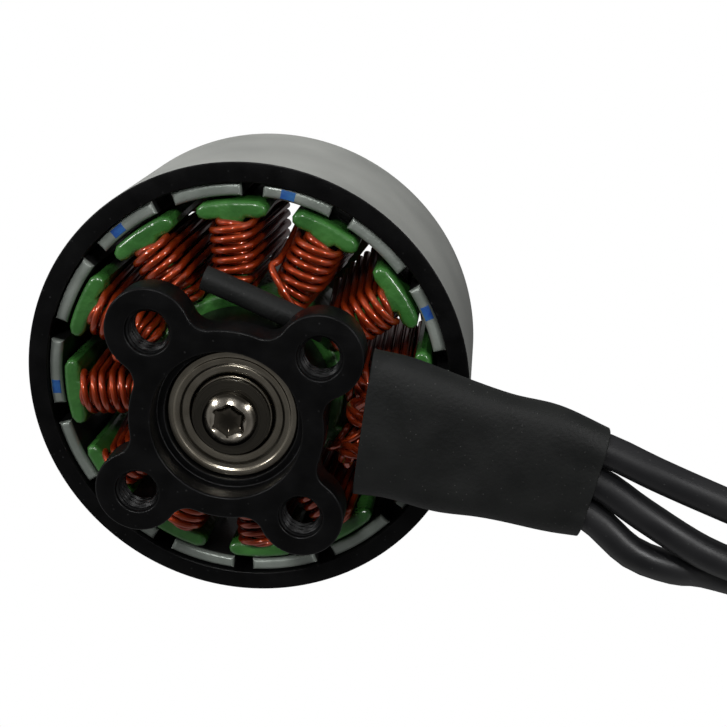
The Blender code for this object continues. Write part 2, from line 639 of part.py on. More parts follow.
BLACK_ALLOY = principled("black_anodised_alloy", (0.012, 0.012, 0.013), 0.42, 0.6)
BELL_ALLOY = principled("bell_alloy", (0.20, 0.20, 0.19), 0.45, 0.8)
RING_GREY = principled("grey_coated_steel", (0.21, 0.215, 0.20), 0.55, 0.4)
BEARING_STEEL = principled("bearing_steel", (0.35, 0.33, 0.30), 0.28, 1.0)
COATED_LAMINATION = principled("green_coated_lamination", (0.035, 0.16, 0.03), 0.35, 0.0)
COPPER = principled("enamelled_copper", (0.45, 0.10, 0.03), 0.30, 0.7)
MAGNET_NICKEL = principled("nickel_magnet", (0.33, 0.35, 0.33), 0.35, 0.8)
SCREW_STEEL = principled("screw_steel", (0.30, 0.28, 0.26), 0.25, 1.0)
SHRINK_BLACK = principled("shrink_tubing", (0.012, 0.013, 0.014), 0.6, 0.0)
LEAD_BLACK = principled("silicone_lead", (0.010, 0.010, 0.011), 0.45, 0.0)
TIE_BLACK = principled("nylon_tie", (0.02, 0.02, 0.02), 0.4, 0.0)

rotor = bpy.data.objects.new("rotor_axis", None)
motor.objects.link(rotor)

build_mount_base()
build_bearing("lower_bearing", BEARING_DEPTH)
build_bearing("upper_bearing", UPPER_BEARING_BOTTOM)
build_stator_core()
build_windings()
build_flux_ring()
build_magnets()
build_bell_cap()
build_shaft()
build_retainer()
build_tail_sleeve()
build_lead_sleeve()
build_leads()
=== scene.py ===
"""Looks of the outrunner brushless motor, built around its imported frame."""
from math import acos, asin, ceil, cos, pi, radians, sin, tan, tau
from random import Random

import bmesh
import bpy
from mathutils import Matrix, Quaternion, Vector


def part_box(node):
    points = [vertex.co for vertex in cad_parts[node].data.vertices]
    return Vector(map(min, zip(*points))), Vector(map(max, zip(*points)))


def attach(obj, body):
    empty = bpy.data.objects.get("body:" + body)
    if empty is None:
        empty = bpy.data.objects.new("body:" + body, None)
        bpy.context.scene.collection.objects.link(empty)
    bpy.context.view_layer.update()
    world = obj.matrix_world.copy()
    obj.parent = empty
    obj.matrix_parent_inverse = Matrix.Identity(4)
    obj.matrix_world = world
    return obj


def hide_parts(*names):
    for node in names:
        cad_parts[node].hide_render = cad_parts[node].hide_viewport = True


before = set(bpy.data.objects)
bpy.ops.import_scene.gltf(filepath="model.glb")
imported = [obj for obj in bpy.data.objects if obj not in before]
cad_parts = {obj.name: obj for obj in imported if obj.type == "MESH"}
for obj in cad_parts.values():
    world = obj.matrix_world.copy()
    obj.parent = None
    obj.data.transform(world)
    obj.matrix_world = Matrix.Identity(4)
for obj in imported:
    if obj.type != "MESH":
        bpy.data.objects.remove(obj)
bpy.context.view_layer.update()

# Camera: below the surface and looking up at the mounting face, as the photograph does. Its
# perspective centre lies below the picture's middle, so the lens is shifted by a fifth of the frame.
LENS = 65.291
SENSOR = 36.0
FRAME_SHIFT_Y = 0.2
CAMERA_PLACE = Vector((0.012831, -0.031498, -0.081135))
CAMERA_TARGET = Vector((0.009529, 0.007837, 0.008000))
CAMERA_ROLL = radians(13.315)

camera_data = bpy.data.cameras.new("camera")
camera_data.lens = LENS
camera_data.sensor_width = SENSOR
camera_data.shift_y = FRAME_SHIFT_Y
camera_data.clip_start = 0.001
camera = bpy.data.objects.new("camera", camera_data)
bpy.context.scene.collection.objects.link(camera)
camera.location = CAMERA_PLACE
aim = (CAMERA_TARGET - CAMERA_PLACE).to_track_quat("-Z", "Y")
camera.rotation_mode = "QUATERNION"
camera.rotation_quaternion = aim @ Quaternion((0.0, 0.0, 1.0), CAMERA_ROLL)
bpy.context.scene.camera = camera

# Leads: three flexible cords of stranded copper in black silicone, 130 mm long from the sleeve's
# mouth. They lie on the surface beside the motor, and the length that the photograph doesn't
# show is laid in one coil. Their ends are stripped and tinned.
LEAD_R = 0.00115
LEAD_LENGTH = 0.130
LEAD_POINT_SPACING = 0.0012
LEAD_COIL_CENTRE = Vector((0.0575, -0.0050, 0.0))
LEAD_COIL_R = 0.0130
LEAD_LAYER_STEP = 0.00238
LEAD_LOWER_LAYER = 0.00155
LEAD_DESCENT = radians(40)
LEAD_ROUTES = {
    "lead_1": [(0.0214, -0.0024, 0.0019), (0.02515, -0.00185, 0.0017), (0.0284, -0.00095, 0.0013),
               (0.0320, 0.00005, 0.0012), (0.0360, 0.0011, 0.0013), (0.0390, 0.0018, 0.0025),
               (0.0414, 0.0022, 0.0036)],
    "lead_2": [(0.0212, -0.0002, 0.0019), (0.02500, 0.0005, 0.0017), (0.0284, 0.0021, 0.0013),
               (0.0329, 0.0041, 0.0012), (0.0370, 0.0051, 0.0013), (0.0408, 0.0060, 0.0026),
               (0.0439, 0.0067, 0.0036)],
    "lead_3": [(0.0210, 0.0020, 0.0019), (0.02482, 0.00285, 0.0017), (0.0282, 0.0050, 0.0014),
               (0.0314, 0.0060, 0.0021), (0.0338, 0.0064, 0.0032), (0.0380, 0.0073, 0.0038),
               (0.0430, 0.0090, 0.0038), (0.0474, 0.00995, 0.0037)],
}
LEAD_COIL_PLACES = {"lead_1": (-1, radians(200)), "lead_2": (0, radians(100)),
                    "lead_3": (1, radians(100))}
LEAD_COIL_TURNS = 2.2
TIN_LENGTH = 0.0050
TIN_R = 0.00062
TIN_STRANDS = 9
TIN_TWIST = 2.4
TIN_ROWS = 16


def new_finish(name, colour, roughness, metallic=0.0, specular=0.5, coat=0.0, coat_roughness=0.08):
    """Start a Principled material with its uniform values."""
    material = bpy.data.materials.new(name)
    material.use_nodes = True
    shader = material.node_tree.nodes["Principled BSDF"]
    shader.inputs["Base Color"].default_value = (*colour, 1.0)
    shader.inputs["Roughness"].default_value = roughness
    shader.inputs["Metallic"].default_value = metallic
    shader.inputs["Specular IOR Level"].default_value = specular
    shader.inputs["Coat Weight"].default_value = coat
    shader.inputs["Coat Roughness"].default_value = coat_roughness
    return material


def add_node(tree, kind, feeds=None):
    """Add a node, and feed its inputs with values or with other nodes' outputs."""
    node = tree.nodes.new(kind)
    for socket, value in (feeds or {}).items():
        if isinstance(value, bpy.types.NodeSocket):
            tree.links.new(value, node.inputs[socket])
        else:
            node.inputs[socket].default_value = value
    return node


def add_group(material, group, **values):
    """Place an effect's node group in a material with the material's own values."""
    node = material.node_tree.nodes.new("ShaderNodeGroup")
    node.node_tree = group
    for name, value in values.items():
        node.inputs[name.replace("_", " ")].default_value = value
    return node


def feed_colour(material, mask, colour, under=None):
    """Lay a colour by a mask over another colour, or over what feeds the base colour already."""
    tree = material.node_tree
    base = tree.nodes["Principled BSDF"].inputs["Base Color"]
    mix = tree.nodes.new("ShaderNodeMix")
    mix.data_type = "RGBA"
    mix.inputs["B"].default_value = (*colour, 1.0)
    if under:
        mix.inputs["A"].default_value = (*under, 1.0)
    else:
        tree.links.new(base.links[0].from_socket, mix.inputs["A"])
    tree.links.new(mask, mix.inputs["Factor"])
    tree.links.new(mix.outputs["Result"], base)


def feed_roughness(material, mask, low, high):
    """Turn a mask into a range of roughness."""
    tree = material.node_tree
    spread = add_node(tree, "ShaderNodeMapRange", {"Value": mask, "To Min": low, "To Max": high})
    tree.links.new(spread.outputs["Result"], tree.nodes["Principled BSDF"].inputs["Roughness"])


def feed_bump(material, height, depth):
    """Raise the surface by a height of 0 to 1 times a depth in metres, over its other relief."""
    tree = material.node_tree
    normal = tree.nodes["Principled BSDF"].inputs["Normal"]
    bump = add_node(tree, "ShaderNodeBump", {"Height": height, "Distance": depth, "Strength": 1.0})
    if normal.links:
        tree.links.new(normal.links[0].from_socket, bump.inputs["Normal"])
    tree.links.new(bump.outputs["Normal"], normal)


def start_group(name, inputs, outputs):
    """Start an effect's node group with its named number sockets."""
    group = bpy.data.node_groups.new(name, "ShaderNodeTree")
    for socket, value in inputs.items():
        made = group.interface.new_socket(name=socket, in_out="INPUT", socket_type="NodeSocketFloat")
        made.default_value = value
    for socket in outputs:
        group.interface.new_socket(name=socket, in_out="OUTPUT", socket_type="NodeSocketFloat")
    given = group.nodes.new("NodeGroupInput").outputs
    result = group.nodes.new("NodeGroupOutput").inputs
    return group, given, result, add_node(group, "ShaderNodeTexCoord").outputs["Object"]


def link_math(tree, operation, *terms):
    """Join sockets or numbers in a Math node."""
    node = add_node(tree, "ShaderNodeMath", dict(enumerate(terms)))
    node.operation = operation
    return node.outputs["Value"]


def make_grain():
    """Grain: coarse drifts of tone, and a fine pitted height, in object space."""
    group, given, result, place = start_group("grain", {"Drift Scale": 300.0, "Pit Scale": 6000.0},
                                              ["Drift", "Pits"])
    for scale, detail, output in (("Drift Scale", 3.0, "Drift"), ("Pit Scale", 2.0, "Pits")):
        noise = add_node(group, "ShaderNodeTexNoise", {"Vector": place, "Scale": given[scale],
                                                       "Detail": detail})
        spread = add_node(group, "ShaderNodeMapRange", {"Value": noise.outputs["Fac"],
                                                        "From Min": 0.3, "From Max": 0.7})
        group.links.new(spread.outputs["Result"], result[output])
    return group


def make_dust():
    """Dust: sparse pale specks that settle on dark soft surfaces."""
    group, given, result, place = start_group("dust", {"Speck Scale": 2500.0, "Amount": 0.5},
                                              ["Specks"])
    cells = add_node(group, "ShaderNodeTexVoronoi", {"Vector": place, "Scale": given["Speck Scale"]})
    near = link_math(group, "LESS_THAN", cells.outputs["Distance"], 0.10)
    drift = add_node(group, "ShaderNodeTexNoise", {"Vector": place, "Scale": 700.0}).outputs["Fac"]
    specks = link_math(group, "MULTIPLY", near, link_math(group, "MULTIPLY", drift, drift))
    group.links.new(link_math(group, "MULTIPLY", specks, given["Amount"]), result["Specks"])
    return group


grain = make_grain()
dust = make_dust()


def add_grain(material, drift, pits, dark, light, rough=None, depth=None):
    """Give a finish drifts of colour and roughness, and fine pits of a depth in metres."""
    marks = add_group(material, grain, Drift_Scale=drift, Pit_Scale=pits).outputs
    feed_colour(material, marks["Drift"], light, dark)
    if rough:
        feed_roughness(material, marks["Drift"], *rough)
    if depth:
        feed_bump(material, marks["Pits"], depth)


def add_dust(material, scale, amount, colour):
    """Let dust settle on a finish."""
    specks = add_group(material, dust, Speck_Scale=scale, Amount=amount).outputs["Specks"]
    feed_colour(material, specks, colour)


silicone = new_finish("black_silicone", (0.008, 0.008, 0.009), 0.34, specular=0.42)
add_grain(silicone, drift=260.0, pits=5200.0, dark=(0.0065, 0.0065, 0.0075),
          light=(0.0105, 0.0105, 0.0115), rough=(0.36, 0.5), depth=0.000003)
add_dust(silicone, scale=1900.0, amount=0.5, colour=(0.16, 0.16, 0.15))

tinned_copper = new_finish("tinned_copper", (0.52, 0.52, 0.50), 0.30, metallic=1.0)
add_grain(tinned_copper, drift=900.0, pits=7000.0, dark=(0.42, 0.41, 0.38),
          light=(0.66, 0.66, 0.64), rough=(0.2, 0.42), depth=0.00001)


def add_piece(name, data, *materials):
    """Put a piece in the scene with its materials."""
    piece = bpy.data.objects.new(name, data)
    bpy.context.scene.collection.objects.link(piece)
    for material in materials:
        data.materials.append(material)
    return piece


def seat(piece, body, slot, *nodes):
    """Ride a piece on its body and hide the CAD nodes that it stands for. The slot is not used."""
    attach(piece, body)
    if nodes:
        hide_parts(*nodes)


def through(knots, spacing):
    """List evenly spaced points of a smooth curve through the knots."""
    knots = [Vector(knot) for knot in knots]
    padded = [2 * knots[0] - knots[1], *knots, 2 * knots[-1] - knots[-2]]
    points = []
    for a, b, c, d in zip(padded, padded[1:], padded[2:], padded[3:]):
        count = max(2, ceil((c - b).length / spacing))
        for i in range(count):
            t = i / count
            points.append(0.5 * (2 * b + (c - a) * t + (2 * a - 5 * b + 4 * c - d) * t * t
                                 + (3 * b - a - 3 * c + d) * t ** 3))
    points.append(knots[-1])
    return points


def cut_to(points, length):
    """Cut a line of points at a length along it."""
    kept = [points[0]]
    left = length
    for a, b in zip(points, points[1:]):
        step = (b - a).length
        if step >= left:
            kept.append(a.lerp(b, left / step))
            return kept
        kept.append(b)
        left -= step
    return kept


def swept(name, points, radius, *materials, resolution=4):
    """Sweep a round section along a line of points, as one open spline."""
    curve = bpy.data.curves.new(name, "CURVE")
    curve.dimensions = "3D"
    curve.bevel_depth = radius
    curve.bevel_resolution = resolution
    curve.use_fill_caps = True
    spline = curve.splines.new("POLY")
    spline.points.add(len(points) - 1)
    for point, place in zip(spline.points, points):
        point.co = (*place, 1.0)
    spline.use_smooth = True
    return add_piece(name, curve, *materials)


def coiled_points(radius, upper_turn):
    """Turns of one lead in the coil: an upper layer, a descent, and a lower layer."""
    points = []
    step = LEAD_POINT_SPACING / radius
    turn = 0.0
    while turn < LEAD_COIL_TURNS * tau:
        drop = min(max((turn - upper_turn) / LEAD_DESCENT, 0.0), 1.0)
        height = LEAD_LOWER_LAYER + LEAD_LAYER_STEP * (1 - drop * drop * (3 - 2 * drop))
        spoke = Vector((cos(pi / 2 - turn), sin(pi / 2 - turn), 0.0)) * radius
        points.append(LEAD_COIL_CENTRE + spoke + Vector((0.0, 0.0, height)))
        turn += step
    return points


def skin(build, rings):
    """Close the bands between rings of points with faces."""
    for ring, following in zip(rings, rings[1:]):
        for i in range(len(ring)):
            after = (i + 1) % len(ring)
            build.faces.new((ring[i], ring[after], following[after], following[i]))


def mesh_from(name, build, sharp):
    """Turn a build into a smooth mesh whose edges over an angle in degrees stay sharp."""
    bmesh.ops.recalc_face_normals(build, faces=build.faces)
    mesh = bpy.data.meshes.new(name)
    build.to_mesh(mesh)
    build.free()
    mesh.shade_smooth()
    mesh.set_sharp_from_angle(angle=radians(sharp))
    return mesh


def tinned_end(name, start, heading):
    """Twisted and tinned strands at a lead's stripped end."""
    build = bmesh.new()
    side = heading.orthogonal().normalized()
    other = heading.cross(side)
    rings = []
    around = TIN_STRANDS * 6
    for row in range(TIN_ROWS + 1):
        share = row / TIN_ROWS
        narrowing = 1.0 - 0.25 * share ** 4
        ring = []
        for i in range(around):
            angle = tau * i / around
            lobe = 0.86 + 0.14 * abs(cos((angle - share * TIN_TWIST) * TIN_STRANDS / 2))
            offset = (side * cos(angle) + other * sin(angle)) * TIN_R * narrowing * lobe
            ring.append(build.verts.new(start + heading * TIN_LENGTH * share + offset))
        rings.append(ring)
    skin(build, rings)
    build.faces.new(rings[-1])
    build.faces.new(rings[0][::-1])
    return add_piece(name, mesh_from(name, build, 180), tinned_copper)


lead_pieces = {}
for lead_name, lead_route in LEAD_ROUTES.items():
    lane, upper_turn = LEAD_COIL_PLACES[lead_name]
    coil_points = coiled_points(LEAD_COIL_R + lane * LEAD_LAYER_STEP, upper_turn)
    approach = through([*lead_route, coil_points[0], coil_points[3]], LEAD_POINT_SPACING)
    hidden = (Vector(lead_route[1]) - Vector(lead_route[0])).length
    lead_points = cut_to(approach[:-1] + coil_points[3:], LEAD_LENGTH + hidden)
    lead = swept(lead_name + "_cord", lead_points, LEAD_R, silicone)
    heading = (lead_points[-1] - lead_points[-2]).normalized()
    tip = tinned_end(lead_name + "_tip", lead_points[-1], heading)
    seat(tip, "stator", "lead")
    lead_pieces[lead_name] = (lead, lead_points, tip)

# Tie of the coiled leads: a thin nylon strap with a small square clasp, drawn round the leads.
TIE_TURN = radians(-60)
TIE_THICKNESS = 0.0003
TIE_WIDTH = 0.0030
TIE_REACH_ACROSS = 0.00378
TIE_REACH_UP = 0.00245
TIE_MIDDLE = 0.00295
TIE_CORNER = 0.0011
TIE_CLASP = Vector((0.0030, 0.00028, 0.0038))
TIE_CLASP_SHIFT = 0.0012

nylon = new_finish("black_nylon", (0.018, 0.018, 0.019), 0.42, specular=0.4)
add_grain(nylon, drift=420.0, pits=5000.0, dark=(0.014, 0.014, 0.015),
          light=(0.024, 0.024, 0.025), rough=(0.34, 0.5), depth=0.000008)


def rounded_loop(reach_x, reach_y, corner, steps=8):
    """Outline of a rectangle with round corners."""
    points = []
    for i, (sign_x, sign_y) in enumerate(((1, 1), (-1, 1), (-1, -1), (1, -1))):
        for k in range(steps + 1):
            angle = pi / 2 * (i + k / steps)
            points.append((sign_x * (reach_x - corner) + corner * cos(angle),
                           sign_y * (reach_y - corner) + corner * sin(angle)))
    return points


def band_profile(width, thickness, ease):
    """Section of a strap with eased edges, as (across, outward) points."""
    half = width / 2
    return [(-half, ease), (-half + ease, 0.0), (half - ease, 0.0), (half, ease),
            (half, thickness - ease), (half - ease, thickness), (-half + ease, thickness),
            (-half, thickness - ease)]


def build_tie():
    """Strap round the coiled leads, with its clasp on top."""
    build = bmesh.new()
    inner = rounded_loop(TIE_REACH_ACROSS, TIE_REACH_UP, TIE_CORNER)
    rings = []
    for i, (x, y) in enumerate(inner):
        along = (Vector(inner[(i + 1) % len(inner)]) - Vector(inner[i - 1])).normalized()
        rings.append([build.verts.new((x + along.y * out, y - along.x * out, across))
                      for across, out in band_profile(TIE_WIDTH, TIE_THICKNESS, TIE_THICKNESS / 4)])
    skin(build, [*rings, rings[0]])
    clasp = bmesh.ops.create_cube(build, size=1.0)["verts"]
    for vert in clasp:
        vert.co = vert.co * TIE_CLASP + Vector((TIE_CLASP_SHIFT, TIE_REACH_UP + TIE_CLASP.y / 2, 0.0))
    edges = [edge for edge in build.edges if edge.verts[0] in clasp and edge.verts[1] in clasp]
    bmesh.ops.bevel(build, geom=edges, offset=0.0001, segments=2, affect="EDGES")
    tie = add_piece("coil_tie", mesh_from("coil_tie", build, 40), nylon)
    spot = Vector((cos(TIE_TURN), sin(TIE_TURN), 0.0)) * LEAD_COIL_R
    tie.location = LEAD_COIL_CENTRE + spot + Vector((0.0, 0.0, TIE_MIDDLE))
    tie.rotation_euler = (pi / 2, 0.0, TIE_TURN)
    return tie


tie = build_tie()
seat(tie, "stator", "tie", "lead_tie")

# Lead sleeve: one wide heat-shrink tube over the soldered joints of the three leads. It is flattened
# where the joints lie, narrows towards the leads, and its cut mouth flares a little.
SLEEVE_WALL = 0.00032
SLEEVE_TOP_EDGE = [(0.00897, -0.00625), (0.0118, -0.0060), (0.0153, -0.0052), (0.0185, -0.0046),
                   (0.0217, -0.00432), (0.02515, -0.00328)]
SLEEVE_BOTTOM_EDGE = [(0.00888, 0.00392), (0.0113, 0.0039), (0.01465, 0.0043), (0.0178, 0.0042),
                      (0.0221, 0.00447), (0.0244, 0.00447)]
SLEEVE_HALF_DEPTH = 0.00165
SLEEVE_MIDDLE = 0.0018
SLEEVE_JOINT = 0.42
SLEEVE_JOINT_REACH = 0.34
SLEEVE_JOINT_GROOVE = 0.00010
SLEEVE_MOUTH = 0.62
SLEEVE_MOUTH_GROOVE = 0.00022
SLEEVE_SHARP = 50
FINE_SPACING = 0.0004
SLEEVE_ROWS = 56
SLEEVE_AROUND = 72

shrink_tube = new_finish("black_shrink_tube", (0.010, 0.0105, 0.010), 0.52, specular=0.24)
add_grain(shrink_tube, drift=330.0, pits=3600.0, dark=(0.0072, 0.0078, 0.0075),
          light=(0.0120, 0.0127, 0.0122), rough=(0.48, 0.64), depth=0.000012)
add_dust(shrink_tube, scale=2300.0, amount=0.7, colour=(0.13, 0.13, 0.125))


def along_edge(edge, share):
    """Point of one side edge of the sleeve at a share of its length."""
    points = through([(x, y, 0.0) for x, y in edge], FINE_SPACING)
    place = share * (len(points) - 1)
    low = min(int(place), len(points) - 2)
    return points[low].lerp(points[low + 1], place - low)


def sleeve_ring(share, inset):
    """Points round the sleeve at a share of its length, moved in by an inset."""
    top = along_edge(SLEEVE_TOP_EDGE, share)
    bottom = along_edge(SLEEVE_BOTTOM_EDGE, share)
    middle = (top + bottom) / 2
    half = (bottom - top) / 2
    mouth = max(0.0, (share - SLEEVE_MOUTH) / (1 - SLEEVE_MOUTH))
    joint = max(0.0, 1.0 - abs(share - SLEEVE_JOINT) / SLEEVE_JOINT_REACH)
    deepest = SLEEVE_MOUTH_GROOVE * mouth * mouth + SLEEVE_JOINT_GROOVE * joint
    points = []
    for i in range(SLEEVE_AROUND):
        angle = tau * i / SLEEVE_AROUND
        across = abs(cos(angle)) ** 0.62 * (1 if cos(angle) > 0 else -1)
        rise = abs(sin(angle)) ** 0.72 * (1 if sin(angle) > 0 else -1)
        groove = deepest * (0.5 - 0.5 * cos(across * 3 * pi)) * abs(rise)
        wave = 0.00005 * sin(11.0 * share + 3.0 * across) + 0.00004 * sin(23.0 * share - 5.0 * across)
        depth = SLEEVE_HALF_DEPTH - 0.0001 * mouth - groove + wave * (1 - mouth) - inset
        place = middle + half * across * (1.0 - inset / half.length)
        points.append(Vector((place.x, place.y, SLEEVE_MIDDLE + depth * rise)))
    return points


def build_sleeve():
    """Shell of the sleeve, open at both ends."""
    build = bmesh.new()
    outer, inner = [[[build.verts.new(point) for point in sleeve_ring(row / SLEEVE_ROWS, inset)]
                     for row in range(SLEEVE_ROWS + 1)] for inset in (0.0, SLEEVE_WALL)]
    skin(build, [*outer, *inner[::-1], outer[0]])
    sleeve = add_piece("lead_sleeve_shell", mesh_from("lead_sleeve_shell", build, SLEEVE_SHARP),
                       shrink_tube)
    edge = sleeve.modifiers.new("Eased ends", "BEVEL")
    edge.width = 0.00008
    edge.segments = 2
    edge.limit_method = "ANGLE"
    edge.angle_limit = radians(SLEEVE_SHARP)
    return sleeve


sleeve = build_sleeve()
seat(sleeve, "stator", "shrink_tube", "lead_sleeve")

for lead_name, (lead, lead_points, tip) in lead_pieces.items():
    nodes = [lead_name, "lead_coil"] if lead_name == "lead_2" else [lead_name]
    seat(lead, "stator", "lead", *nodes)
    with_pieces = [tip]
    if lead_name == "lead_2":
        with_pieces += [sleeve, tie]

# Mounting base: black anodised alloy, turned and milled from one piece. Four pads with tapped holes
# stand round a waist. A counterbore holds the bearing, and the tube behind carries the stator.
BASE_LOW, BASE_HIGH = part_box("mount_base")
PAD_CIRCLE_R = 0.0080
PAD_R = 0.0029
WAIST_R = 0.0066
WAIST_FILLET = 0.0014
PLATE_THICKNESS = 0.0026
PLATE_EASE = 0.00015
THREAD_MINOR_R = 0.00124
THREAD_MAJOR_R = 0.0015
THREAD_PITCH = 0.0005
COUNTERBORE_R = 0.0051
COUNTERBORE_DEPTH = 0.0020
NECK_R = 0.0062
NECK_TOP = 0.00775
TUBE_R = 0.0055
BEARING_SEAT_R = 0.00458
BEARING_SEAT_BOTTOM = 0.0162
TUBE_INNER_R = 0.0039
TUBE_INNER_BOTTOM = 0.0066
TUBE_EASE = 0.00008


def make_wear_and_painted_highlight():
    """Edge wear and painted edge highlight: a mask of the edges, broken up by noise."""
    group, given, result, place = start_group("wear_and_painted_highlight", {"Width": 0.0001, "Break Up": 3500.0},
                                              ["Mask"])
    bevel = add_node(group, "ShaderNodeBevel", {"Radius": given["Width"]})
    bevel.samples = 6
    flat = add_node(group, "ShaderNodeNewGeometry")
    match = add_node(group, "ShaderNodeVectorMath", {0: bevel.outputs["Normal"],
                                                     1: flat.outputs["Normal"]})
    match.operation = "DOT_PRODUCT"
    noise = add_node(group, "ShaderNodeTexNoise", {"Vector": place, "Scale": given["Break Up"]})
    bent = link_math(group, "SUBTRACT", 1.0, match.outputs["Value"])
    worn = add_node(group, "ShaderNodeMapRange", {"Value": bent, "From Min": 0.004, "From Max": 0.12})
    broken = link_math(group, "MULTIPLY", worn.outputs["Result"], noise.outputs["Fac"])
    group.links.new(link_math(group, "MULTIPLY", broken, 1.6), result["Mask"])
    return group


def make_turning_marks():
    """Turning marks: fine rings round the shaft's axis, left by the lathe."""
    group, given, result, place = start_group("turning_marks", {"Pitch": 0.00006, "Wander": 0.4},
                                              ["Rings"])
    x, y, z = add_node(group, "ShaderNodeSeparateXYZ", {"Vector": place}).outputs
    squares = [link_math(group, "MULTIPLY", side, side) for side in (x, y)]
    radius = link_math(group, "SQRT", link_math(group, "ADD", *squares))
    turns = link_math(group, "DIVIDE", link_math(group, "ADD", radius, z), given["Pitch"])
    noise = add_node(group, "ShaderNodeTexNoise", {"Detail": 3.0, "Scale": 1.0})
    noise.noise_dimensions = "1D"
    group.links.new(turns, noise.inputs["W"])
    wave = link_math(group, "SINE", link_math(group, "MULTIPLY", turns, tau))
    calm = link_math(group, "ADD", link_math(group, "MULTIPLY", wave, 0.25), 0.5)
    uneven = link_math(group, "SUBTRACT", noise.outputs["Fac"], 0.5)
    mixed = link_math(group, "MULTIPLY", uneven, given["Wander"])
    group.links.new(link_math(group, "ADD", calm, mixed), result["Rings"])
    return group


wear_and_painted_highlight = make_wear_and_painted_highlight()
turning_marks = make_turning_marks()


def add_wear_and_painted_highlight(material, width, scale, colour):
    """Lighten a finish's edges, as wear, and on some finishes as a painted highlight."""
    mask = add_group(material, wear_and_painted_highlight, Width=width, Break_Up=scale).outputs["Mask"]
    feed_colour(material, mask, colour)


def add_turning(material, pitch, wander, depth, rough=None):
    """Turn rings into a finish, of a depth in metres."""
    rings = add_group(material, turning_marks, Pitch=pitch, Wander=wander).outputs["Rings"]
    if rough:
        feed_roughness(material, rings, *rough)
    feed_bump(material, rings, depth)
    return rings


black_alloy = new_finish("black_anodised_alloy", (0.006, 0.006, 0.0065), 0.36, specular=0.16)
add_grain(black_alloy, drift=500.0, pits=9000.0, dark=(0.0014, 0.0014, 0.0015),
          light=(0.0028, 0.0028, 0.0030), rough=(0.3, 0.44), depth=0.000004)
add_dust(black_alloy, scale=1500.0, amount=0.35, colour=(0.12, 0.12, 0.12))
# The lighter edges are partly worn anodising and partly a painted highlight along the eased edges.
add_wear_and_painted_highlight(black_alloy, width=0.00012, scale=2600.0, colour=(0.055, 0.055, 0.056))


def polar(radius, angle):
    """Point at a radius and an angle round the axis, as (x, y)."""
    return radius * cos(angle), radius * sin(angle)


def arc(centre, radius, start, end, count):
    """List points of an arc, its two ends included."""
    spokes = [polar(radius, start + (end - start) * i / count) for i in range(count + 1)]
    return [(centre[0] + x, centre[1] + y) for x, y in spokes]


def circle(radius, count, centre=(0.0, 0.0)):
    """List points of a full circle."""
    return arc(centre, radius, 0.0, tau, count)[:-1]


def flat_plate(name, outlines, bottom, top, ease, segments=3):
    """Mesh of flat outlines with thickness and round edges. An outline inside another is a hole."""
    curve = bpy.data.curves.new(name, "CURVE")
    curve.dimensions = "2D"
    curve.fill_mode = "BOTH"
    curve.extrude = (top - bottom) / 2 - ease
    curve.bevel_depth = ease
    curve.bevel_resolution = segments
    curve.offset = -ease
    for outline in outlines:
        spline = curve.splines.new("POLY")
        spline.points.add(len(outline) - 1)
        for point, (x, y) in zip(spline.points, outline):
            point.co = (x, y, 0.0, 1.0)
        spline.use_cyclic_u = True
    holder = bpy.data.objects.new(name, curve)
    bpy.context.scene.collection.objects.link(holder)
    graph = bpy.context.evaluated_depsgraph_get()
    mesh = bpy.data.meshes.new_from_object(holder.evaluated_get(graph))
    bpy.data.objects.remove(holder, do_unlink=True)
    mesh.transform(Matrix.Translation((0.0, 0.0, (bottom + top) / 2)))
    welded = bmesh.new()
    welded.from_mesh(mesh)
    bmesh.ops.remove_doubles(welded, verts=welded.verts, dist=0.000002)
    welded.to_mesh(mesh)
    welded.free()
    mesh.materials.clear()
    mesh.shade_smooth()
    mesh.set_sharp_from_angle(angle=radians(32))
    return mesh


ON_AXIS = 0.000001


def eased(profile, ease, steps=3):
    """Round the corners of a closed (radius, height) profile. A corner on the axis stays."""
    points = []
    for i, corner in enumerate(profile):
        before = Vector(profile[i - 1])
        here = Vector(corner)
        after = Vector(profile[(i + 1) % len(profile)])
        size = min(ease, (before - here).length / 2.2, (after - here).length / 2.2)
        if here.x < ON_AXIS:
            points.append(tuple(here))
            continue
        into = here + (before - here).normalized() * size
        out = here + (after - here).normalized() * size
        for k in range(steps + 1):
            t = k / steps
            points.append(tuple(into * (1 - t) ** 2 + here * 2 * t * (1 - t) + out * t * t))
    return points


def turned(name, profile, segments=144):
    """Mesh of a closed (radius, height) profile turned round Z."""
    build = bmesh.new()
    rings = []
    for radius, height in profile:
        if radius < ON_AXIS:
            rings.append([build.verts.new((0.0, 0.0, height))] * segments)
        else:
            rings.append([build.verts.new((*polar(radius, tau * i / segments), height))
                          for i in range(segments)])
    for ring, following in zip(rings, rings[1:] + rings[:1]):
        if ring[0] is ring[1] and following[0] is following[1]:
            continue
        for i in range(segments):
            after = (i + 1) % segments
            corners = [ring[i], ring[after], following[after], following[i]]
            build.faces.new(list(dict.fromkeys(corners)))
    return mesh_from(name, build, 35)


def threaded_wall(name, centre, bottom, top, crest_r, root_r, pitch, inward=False, around=48):
    """Wall of a screw thread, with its run-out eased at both ends."""
    build = bmesh.new()
    rows = ceil((top - bottom) / pitch * 10)
    rings = []
    for row in range(rows + 1):
        height = bottom + (top - bottom) * row / rows
        ends = min(1.0, (height - bottom) / pitch, (top - height) / pitch)
        ring = []
        for i in range(around):
            phase = (height / pitch - i / around) % 1.0
            ridge = min(1.0, max(0.0, 1.35 - abs(phase - 0.5) * 3.4)) * ends
            x, y = polar(root_r + (crest_r - root_r) * ridge, tau * i / around)
            ring.append(build.verts.new((centre[0] + x, centre[1] + y, height)))
        rings.append(ring)
    skin(build, rings[::-1] if inward else rings)
    mesh = bpy.data.meshes.new(name)
    build.to_mesh(mesh)
    build.free()
    mesh.shade_smooth()
    return mesh


